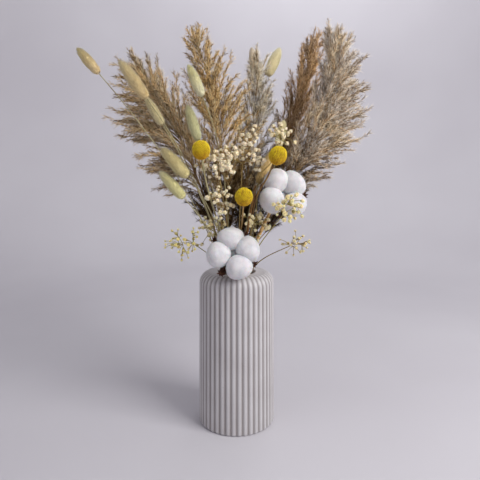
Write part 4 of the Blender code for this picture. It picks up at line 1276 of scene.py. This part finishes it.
def add_spray(index):
    owner, label = owners["spray", index], f"{index + 1:02d}"
    rng = np.random.default_rng(400 + index)
    florets, stalks = spray_growth[index]
    buds, shoots = grow_buds(florets, stalks, space, owner, rng)
    centres = np.vstack([florets, buds])
    lines = bowed(np.concatenate([stalks, shoots]))
    axes = unit(lines[:, -1] - lines[:, -2] + (0, 0, 0.0004))
    petal_colour, stalk_colour, size = SPRAY_SHADES[index]
    sizes = np.concatenate([np.full(len(florets), 1.08), rng.uniform(0.62, 0.92, len(buds))])
    radii = sizes * FLORET_RADIUS * size
    flowers = Heap()
    petals, widths, facing = petal_lines(centres, axes, radii, rng)
    tones = np.repeat(rng.uniform(0, 1, len(centres)), PETALS)
    tones = np.clip(tones + rng.normal(0, 0.15, len(tones)), 0, 1)
    flowers.add(strands(petals, widths, 4, 0.22, facing), tone=tones)
    flowers.add(strands(*on_axes(centres, axes, radii, HEART_PLACES, HEART_RADII), 7), tone=0.6, along=0.5)
    finish = petal_finish(f"petals {label}", petal_colour)
    flowers.piece(f"floret_petals_{label}", finish, "floret", f"floret_spray_{label}")
    wood = Heap()
    wood.add(strands(*on_axes(centres, axes, radii, CUP_DEPTHS, CUP_WIDTHS), 6))
    wood.add(strands(lines, STALK_RADII, 4, blunt=True))
    path = smooth(paths[owner])
    wood.add(strands(path[None], np.linspace(SPRAY_STEM, SPRAY_STALK, len(path)), 5, blunt=True))
    finish = straw_finish(f"wiry stalk {label}", 0.82 * np.array(stalk_colour), stalk_colour)
    wood.piece(f"floret_stalks_{label}", finish, "floret", f"floret_spray_{label}")


spray_growth = [grow_spray(spray, paths[owners["spray", index]], space, owners["spray", index])
                for index, spray in enumerate(SPRAYS)]


# The plumes
# Reed and pampas plumes: a straw stem whose branches rise in a spiral and droop into fingers, thick with slim
# spikelets on short branchlets, among silky hairs. They are tan and cream outside, and painted shade makes
# them dark brown within.

BRANCH_ROOT = 0.0009
BRANCH_MIDDLE = 0.0015
FINGER = 0.0025
SIDE_FINGER = 0.0021
LONG_BRANCH = 0.085
LOWEST = -0.30
SHORT_BELOW = -0.12
UNDER_FROM = 0.05
BEYOND = 0.001
UNDER_RISE = 0.16
UNDER_SHADE = 0.15
UNDER_LENGTH = (0.040, 0.070)
UNDER_SPREAD = (4, 22)
LINE_POINTS = 9
BRANCHLETS_PER_BRANCH = 8.5
BRANCHLETS_FROM = 0.18
BRANCHLET_LEAN = (16, 30)
BRANCHLET_REACH = (0.16, 0.26)
BARE_BRANCH = 0.34
BARE_FINGER = 0.15
BARE_BRANCHLET = 0.12
BRANCH_WOOD = (0.00060, 0.00022)
BRANCHLET_RADIUS = 0.00022
STEM_TIP = 0.0005
GOLDEN_ANGLE = math.radians(137.5)
SPIKELET_LEAN = (10, 36)
SPIKELET_LENGTH = (0.0042, 0.0070)
SPIKELET_GIRTH = (0.00032, 0.00050)
SPIKELET_SAG = 0.0006
SILK_LEAN = (12, 65)
SILK_LENGTH = (0.0055, 0.0115)

# What a line's light is multiplied by for the line itself, and the line's for its spikelets and its hairs.
LINE_TONES = (0.30, 1.15)
SPIKELET_TONES = (0.22, 1.38)
SILK_TONES = (0.85, 1.5)

# How each plume is filled out: more branches between those of its solid, short ones underneath, the spikelets
# and the silky hairs on them, and its colours: painted shade deep inside, in the middle, at its outer ends,
# and of its hairs.
Dress = namedtuple("Dress", "extra under spikelets hairs deep middle outer silk")
DRESSES = (
    Dress(70, 6, 10000, 17000, (0.42, 0.31, 0.20), (1.00, 0.86, 0.64),
          (0.82, 0.72, 0.60), (1.00, 0.95, 0.80)),
    Dress(60, 26, 9000, 13500, (0.46, 0.32, 0.17), (1.00, 0.86, 0.60),
          (0.88, 0.76, 0.57), (1.00, 0.93, 0.74)),
    Dress(40, 30, 4200, 14400, (0.62, 0.51, 0.38), (1.00, 0.96, 0.86),
          (1.00, 0.94, 0.86), (1.00, 1.00, 0.95)),
    Dress(50, 14, 7500, 11500, (0.30, 0.21, 0.13), (0.82, 0.67, 0.48),
          (0.86, 0.73, 0.57), (1.00, 0.88, 0.70)),
    Dress(76, 4, 9500, 21000, (0.42, 0.32, 0.22), (1.00, 0.88, 0.72),
          (0.86, 0.79, 0.70), (1.00, 0.97, 0.89)),
)

# A branch's root, the way and the side it leaves to, its length, its share of the plume, and its finger.
Branch = namedtuple("Branch", "root way out length share finger")

# The lines that carry spikelets and their lengths, the share of each that is bare at its foot, how far out
# in the plume it begins and ends, and how light it is.
Carriers = namedtuple("Carriers", "lines lengths bare begin end tone")


def at_mark(points, mark):
    """The point at this mark of the path."""
    marks = run_marks(points)
    return np.array([np.interp(mark, marks, points[:, i]) for i in range(3)])


def branch_path(root, way, out, comb, length):
    """A branch that leaves along way and bends as it goes, more so on the comb side."""
    comb = np.array(comb, float) * (0.5 + 0.5 * unit(comb) @ out)
    steps = 3 if length > LONG_BRANCH else 2
    points = [root]
    for step in range(steps):
        bend = way + comb * ((step + 0.5) / steps) ** 1.2
        points.append(points[-1] + unit(bend) * length / steps)
    return np.array(points)


def branch_radii(branch):
    middle = [BRANCH_MIDDLE] if len(branch) > 3 else []
    return np.array([BRANCH_ROOT, *middle, FINGER, 0.0])


def side_finger(branch, out, turn):
    """A short finger from the middle of a branch, to one side of it."""
    way = unit(branch[-1] - branch[-2])
    side = unit(np.cross(way, out) * turn + out * 0.4)
    root = 0.5 * (branch[-2] + branch[-3])
    tip = root + unit(way + 0.5 * side) * np.linalg.norm(branch[-1] - root) * 0.72
    return np.array([root, 0.45 * root + 0.55 * tip, tip])


def beyond_solids(line):
    """Whether a line goes past the solids' box by more than BEYOND."""
    low, high = np.array(solid_box)
    return bool((line < low - BEYOND).any() or (line > high + BEYOND).any())


def grow_branch(plume, above, share, mark, angle, length, spread, turn, space, owner):
    """One branch, with its side finger if there is room for it, or None if something is in the branch's
    way."""
    root = at_mark(above, mark)
    stem_way = unit(at_mark(above, mark + 0.02) - root)
    x = unit(np.cross(stem_way, (0, 1, 0)))
    y = np.cross(stem_way, x)
    out = math.cos(angle) * x + math.sin(angle) * y
    way = math.cos(spread) * stem_way + math.sin(spread) * out
    line = branch_path(root, way, out, comb_at(plume, share), length)
    radii = branch_radii(line)
    if beyond_solids(line) or space.gap(owner, line, radii) < CLEAR:
        return None
    space.add(owner, line, radii)
    finger = side_finger(line, out, turn)
    radii = np.array([0.0, SIDE_FINGER, 0.0])
    if space.gap(owner, finger, radii) > CLEAR:
        space.add(owner, finger, radii)
    else:
        finger = None
    return Branch(root, way, out, length, share, finger)


def comb_at(plume, share):
    """How the branches at this share of the plume are combed: less and less towards its tip, and hardly at
    all below its foot, where they stand up close to the stem."""
    return np.array(plume.comb, float) * min(1.25 - share, 1.25 + 3 * share)


def branch_length(plume, share):
    return plume.reach * min(1, 0.62 + 1.2 * share) * (1 - 0.66 * max(share, 0) ** 1.7)


def grow_plume(plume, path, space, owner):
    """The branches of the solid: up the stem in a golden-angle spiral, each turned if something is in its
    way."""
    rng = np.random.default_rng(plume.seed)
    above, grown = path[NODES_BELOW_MOUTH:], []
    for k in range(plume.branches):
        share = (k + 0.5) / plume.branches
        mark = plume.start + (0.97 - plume.start) * share
        length = branch_length(plume, share) * rng.uniform(0.86, 1.1)
        spread = math.radians(np.interp(share, (0, 1), plume.spread))
        turn = rng.choice((-1, 1))
        for attempt in range(10):
            angle = GOLDEN_ANGLE * k + attempt * 0.35 * (-1) ** attempt
            shortened = length * (1 - 0.05 * attempt)
            made = grow_branch(plume, above, share, mark, angle, shortened, spread, turn, space, owner)
            if made:
                grown.append(made)
                break
    return grown


def between_branches(plume, rng):
    """A branch's share, mark, angle, length and spread at a seeded place between those of the solid."""
    share = rng.uniform(LOWEST, 1)
    mark = plume.start + (0.99 - plume.start) * share
    length = branch_length(plume, max(share, SHORT_BELOW)) * rng.uniform(0.62, 1.02)
    spread = np.interp(share, (LOWEST, 0, 1), (8, *plume.spread)) * rng.uniform(0.35, 1.05)
    return share, mark, rng.uniform(0, 2 * math.pi), length, math.radians(spread)


def underneath(plume, rng):
    """The same for a short branch close to the stem, from near the mouth to just above the plume's foot."""
    mark = rng.uniform(UNDER_FROM, plume.start + UNDER_RISE)
    share = (mark - plume.start) / (1 - plume.start) - UNDER_SHADE
    angle, length = rng.uniform(0, 2 * math.pi), rng.uniform(*UNDER_LENGTH)
    return share, mark, angle, length, math.radians(rng.uniform(*UNDER_SPREAD))


def fill_plume(plume, path, space, owner, place, count, rng):
    """Up to this many more branches, each put where place says, wherever there is room."""
    above, grown = path[NODES_BELOW_MOUTH:], []
    for _ in range(3 * count):
        if len(grown) == count:
            break
        made = grow_branch(plume, above, *place(plume, rng), rng.choice((-1, 1)), space, owner)
        if made:
            grown.append(made)
    return grown


def on_lines(lines, which, shares):
    """The points at these shares of these lines, and the way each line runs there."""
    steps = lines.shape[1] - 1
    place = np.clip(shares, 0, 1) * steps
    low = np.minimum(place.astype(int), steps - 1)
    start, end = lines[which, low], lines[which, low + 1]
    return start + (end - start) * (place - low)[:, None], unit(end - start)


def leaning(ways, degrees, turns):
    """The directions that lean from ways by these degrees, to the side that each turn about it gives."""
    x = square_to(ways)
    y = np.cross(ways, x)
    side = np.cos(turns)[:, None] * x + np.sin(turns)[:, None] * y
    lean = np.radians(degrees)[:, None]
    return np.cos(lean) * ways + np.sin(lean) * side


def evenly(lengths, total, first, rng):
    """Places over the lines in step with their lengths: which line each is on, and how far along it, beyond
    first."""
    counts = np.maximum(np.round(total * lengths / lengths.sum()).astype(int), 1)
    which = np.repeat(np.arange(len(lengths)), counts)
    rank = np.arange(len(which)) - np.repeat(np.cumsum(counts) - counts, counts)
    share = (rank + rng.uniform(0, 1, len(which))) / counts[which]
    return which, first[which] + (1 - first[which]) * share


def plume_lines(plume, grown, rng):
    """All the lines that carry spikelets: branches, their side fingers, and branchlets along both. The lowest
    are given less light, as painted shade deep in the bunch."""
    roots = np.array([branch.root for branch in grown])
    ways = np.array([branch.way for branch in grown])
    outs = np.array([branch.out for branch in grown])
    lengths = np.array([branch.length for branch in grown])
    combs = np.array([comb_at(plume, branch.share) for branch in grown])
    bends = combs * (0.5 + 0.5 * (outs * unit(combs)).sum(1))[:, None]
    mains = bent_lines(roots, ways, bends, lengths, LINE_POINTS)
    # Painted shade: lines low in the plume get less light, so their spikelets come out darker.
    light = np.clip([0.5 + 2.5 * branch.share for branch in grown], 0.05, 1)

    has_finger = np.array([branch.finger is not None for branch in grown])
    fingers = np.array([branch.finger for branch in grown if branch.finger is not None])
    foot, run = fingers[:, 0], fingers[:, -1] - fingers[:, 0]
    finger_lengths = np.linalg.norm(run, axis=1)
    fingers = bent_lines(foot, unit(run), np.zeros_like(foot), finger_lengths, LINE_POINTS)
    carriers = np.concatenate([mains, fingers])
    lengths = np.concatenate([lengths, finger_lengths])
    light = np.concatenate([light, light[has_finger]])

    bare = np.full(len(lengths), BRANCHLETS_FROM)
    which, place = evenly(lengths, BRANCHLETS_PER_BRANCH * len(mains), bare, rng)
    start, way = on_lines(carriers, which, place)
    turn = 2.4 * np.arange(len(which)) + rng.normal(0, 0.4, len(which))
    shoot = leaning(way, rng.uniform(*BRANCHLET_LEAN, len(which)), turn)
    reach = lengths[which] * rng.uniform(*BRANCHLET_REACH, len(which)) * (1.15 - 0.55 * place)
    branchlets = bent_lines(start, shoot, 0.8 * way + np.array((0, 0, -0.12)), reach, LINE_POINTS)

    counts = len(mains), len(fingers), len(branchlets)
    begin = np.repeat((0.0, 0.35, 0.0), counts)
    begin[len(carriers):] = place * 0.9
    end = np.concatenate([np.ones(len(carriers)), np.minimum(place + 0.25, 1)])
    light = np.concatenate([light, light[which]])
    tone = light * rng.uniform(*LINE_TONES, len(light))
    lines, lengths = np.concatenate([carriers, branchlets]), np.concatenate([lengths, reach])
    bare = np.repeat((BARE_BRANCH, BARE_FINGER, BARE_BRANCHLET), counts)
    return Carriers(lines, lengths, bare, begin, end, tone)


def plume_finish(name, dress):
    """Spikelets and silk: spikelets are painted dark deep in the plume as shade, tan in the middle and greyish
    at its ends, and every one is a little lighter or darker than the next. The hairs are paler, above all
    towards their ends, and they also take the painted shade deep inside."""
    silk = new_finish(name, 0.85, 0.08)
    outer = mark(silk, "outer")
    # Painted shade: the deep colour darkens spikelets and hairs close to the stem, where the bunch is in
    # shade.
    body = ramp(silk, outer, (0.0, dress.deep), (0.40, dress.middle), (0.72, dress.middle),
                (1.0, dress.outer))
    fine = ramp(silk, outer, (0.0, 0.5 * np.add(dress.deep, dress.silk)), (0.45, dress.silk))
    tones = ramp(silk, mark(silk, "tone"), (0.0, (0.24, 0.19, 0.15)), (0.32, (0.62, 0.57, 0.51)),
                 (0.62, WHITE))
    ends = ramp(silk, mark(silk, "along"), (0.0, (0.86, 0.82, 0.76)), (0.6, WHITE))
    grey = ramp(silk, noise(silk, 38, 2), (0.40, (1.0, 0.97, 0.92)), (0.62, (0.93, 0.93, 0.96)))
    colour = mixed(silk, mark(silk, "hair"), body, fine)
    return coloured(silk, product(silk, colour, tones, ends, grey))


def scattered(carriers, count, rng):
    """Places over the lines beyond their bare feet: which line each is on, how far along it, the point
    there, the way the line runs, and how far out in the plume it is."""
    which, place = evenly(carriers.lengths * (1 - carriers.bare), count, carriers.bare, rng)
    root, way = on_lines(carriers.lines, which, place)
    return which, place, root, way, carriers.begin[which] + (carriers.end - carriers.begin)[which] * place


def add_spikelets(heap, carriers, count, rng):
    """Slim pointed spikelets, set in two rows that lean away from their line."""
    which, _, root, way, outer = scattered(carriers, count, rng)
    turn = math.pi * np.arange(len(which)) + rng.normal(0, 0.7, len(which))
    lean = leaning(way, rng.uniform(*SPIKELET_LEAN, len(which)), turn)
    reach = rng.uniform(*SPIKELET_LENGTH, (len(which), 1))
    end = root + lean * reach + np.array((0, 0, -SPIKELET_SAG))
    girth = rng.uniform(*SPIKELET_GIRTH, (len(which), 1))
    tone = np.clip(carriers.tone[which] * rng.uniform(*SPIKELET_TONES, len(which)), 0, 1)
    spikelets = np.stack([root, root + lean * reach * 0.58, end], axis=1)
    heap.add(strands(spikelets, girth * np.array([0.0, 1.0, 0.0])), tone=tone, outer=outer, hair=0)


def add_silk(heap, carriers, count, rng):
    """Silky hairs that stand out of the lines on every side, shorter towards a line's end."""
    which, place, root, way, outer = scattered(carriers, count, rng)
    lean = leaning(way, rng.uniform(*SILK_LEAN, len(which)), rng.uniform(0, 2 * math.pi, len(which)))
    reach = rng.uniform(*SILK_LENGTH, (len(which), 1)) * np.interp(place, (0, 0.8, 1), (1, 1, 0.7))[:, None]
    tone = np.clip(carriers.tone[which] * rng.uniform(*SILK_TONES, len(which)), 0, 1)
    heap.add(fine_hairs(root, root + lean * reach, HAIR_RADIUS), tone=tone, outer=outer, hair=1)


def add_plume(index):
    plume, dress, path = PLUMES[index], DRESSES[index], paths[index]
    rng = np.random.default_rng(500 + index)
    carriers = plume_lines(plume, growth[index], rng)
    soft = Heap()
    add_spikelets(soft, carriers, dress.spikelets, rng)
    add_silk(soft, carriers, dress.hairs, rng)
    slot = "dark_plume" if plume.name == "plume_dark" else "plume"
    soft.piece(f"{plume.name}_spikelets", plume_finish(f"{plume.name} silk", dress), slot, plume.name)

    wood = Heap()
    mains = len(growth[index])
    wood.add(strands(carriers.lines[:mains], np.linspace(*BRANCH_WOOD, LINE_POINTS), 4))
    wood.add(strands(carriers.lines[mains:, ::4], [0.0, BRANCHLET_RADIUS, 0.0]))
    stem = smooth(path)
    radii = np.interp(run_marks(stem), (0, 0.35, 1), (PLUME_STEM, PLUME_STEM, STEM_TIP))
    wood.add(strands(stem[None], radii, 8, blunt=True))
    wood.piece(f"{plume.name}_branches", plume_straw, slot, plume.name)


growth = [grow_plume(plume, paths[index], space, index) for index, plume in enumerate(PLUMES)]
for index, plume in enumerate(PLUMES):
    rng = np.random.default_rng(plume.seed + 50)
    for place, count in ((between_branches, DRESSES[index].extra), (underneath, DRESSES[index].under)):
        growth[index] += fill_plume(plume, paths[index], space, index, place, count, rng)
plume_straw = straw_finish("plume straw", (0.56, 0.45, 0.28), (0.74, 0.62, 0.42))
for index in range(len(PLUMES)):
    add_plume(index)
for index in range(len(SPRAYS)):
    add_spray(index)
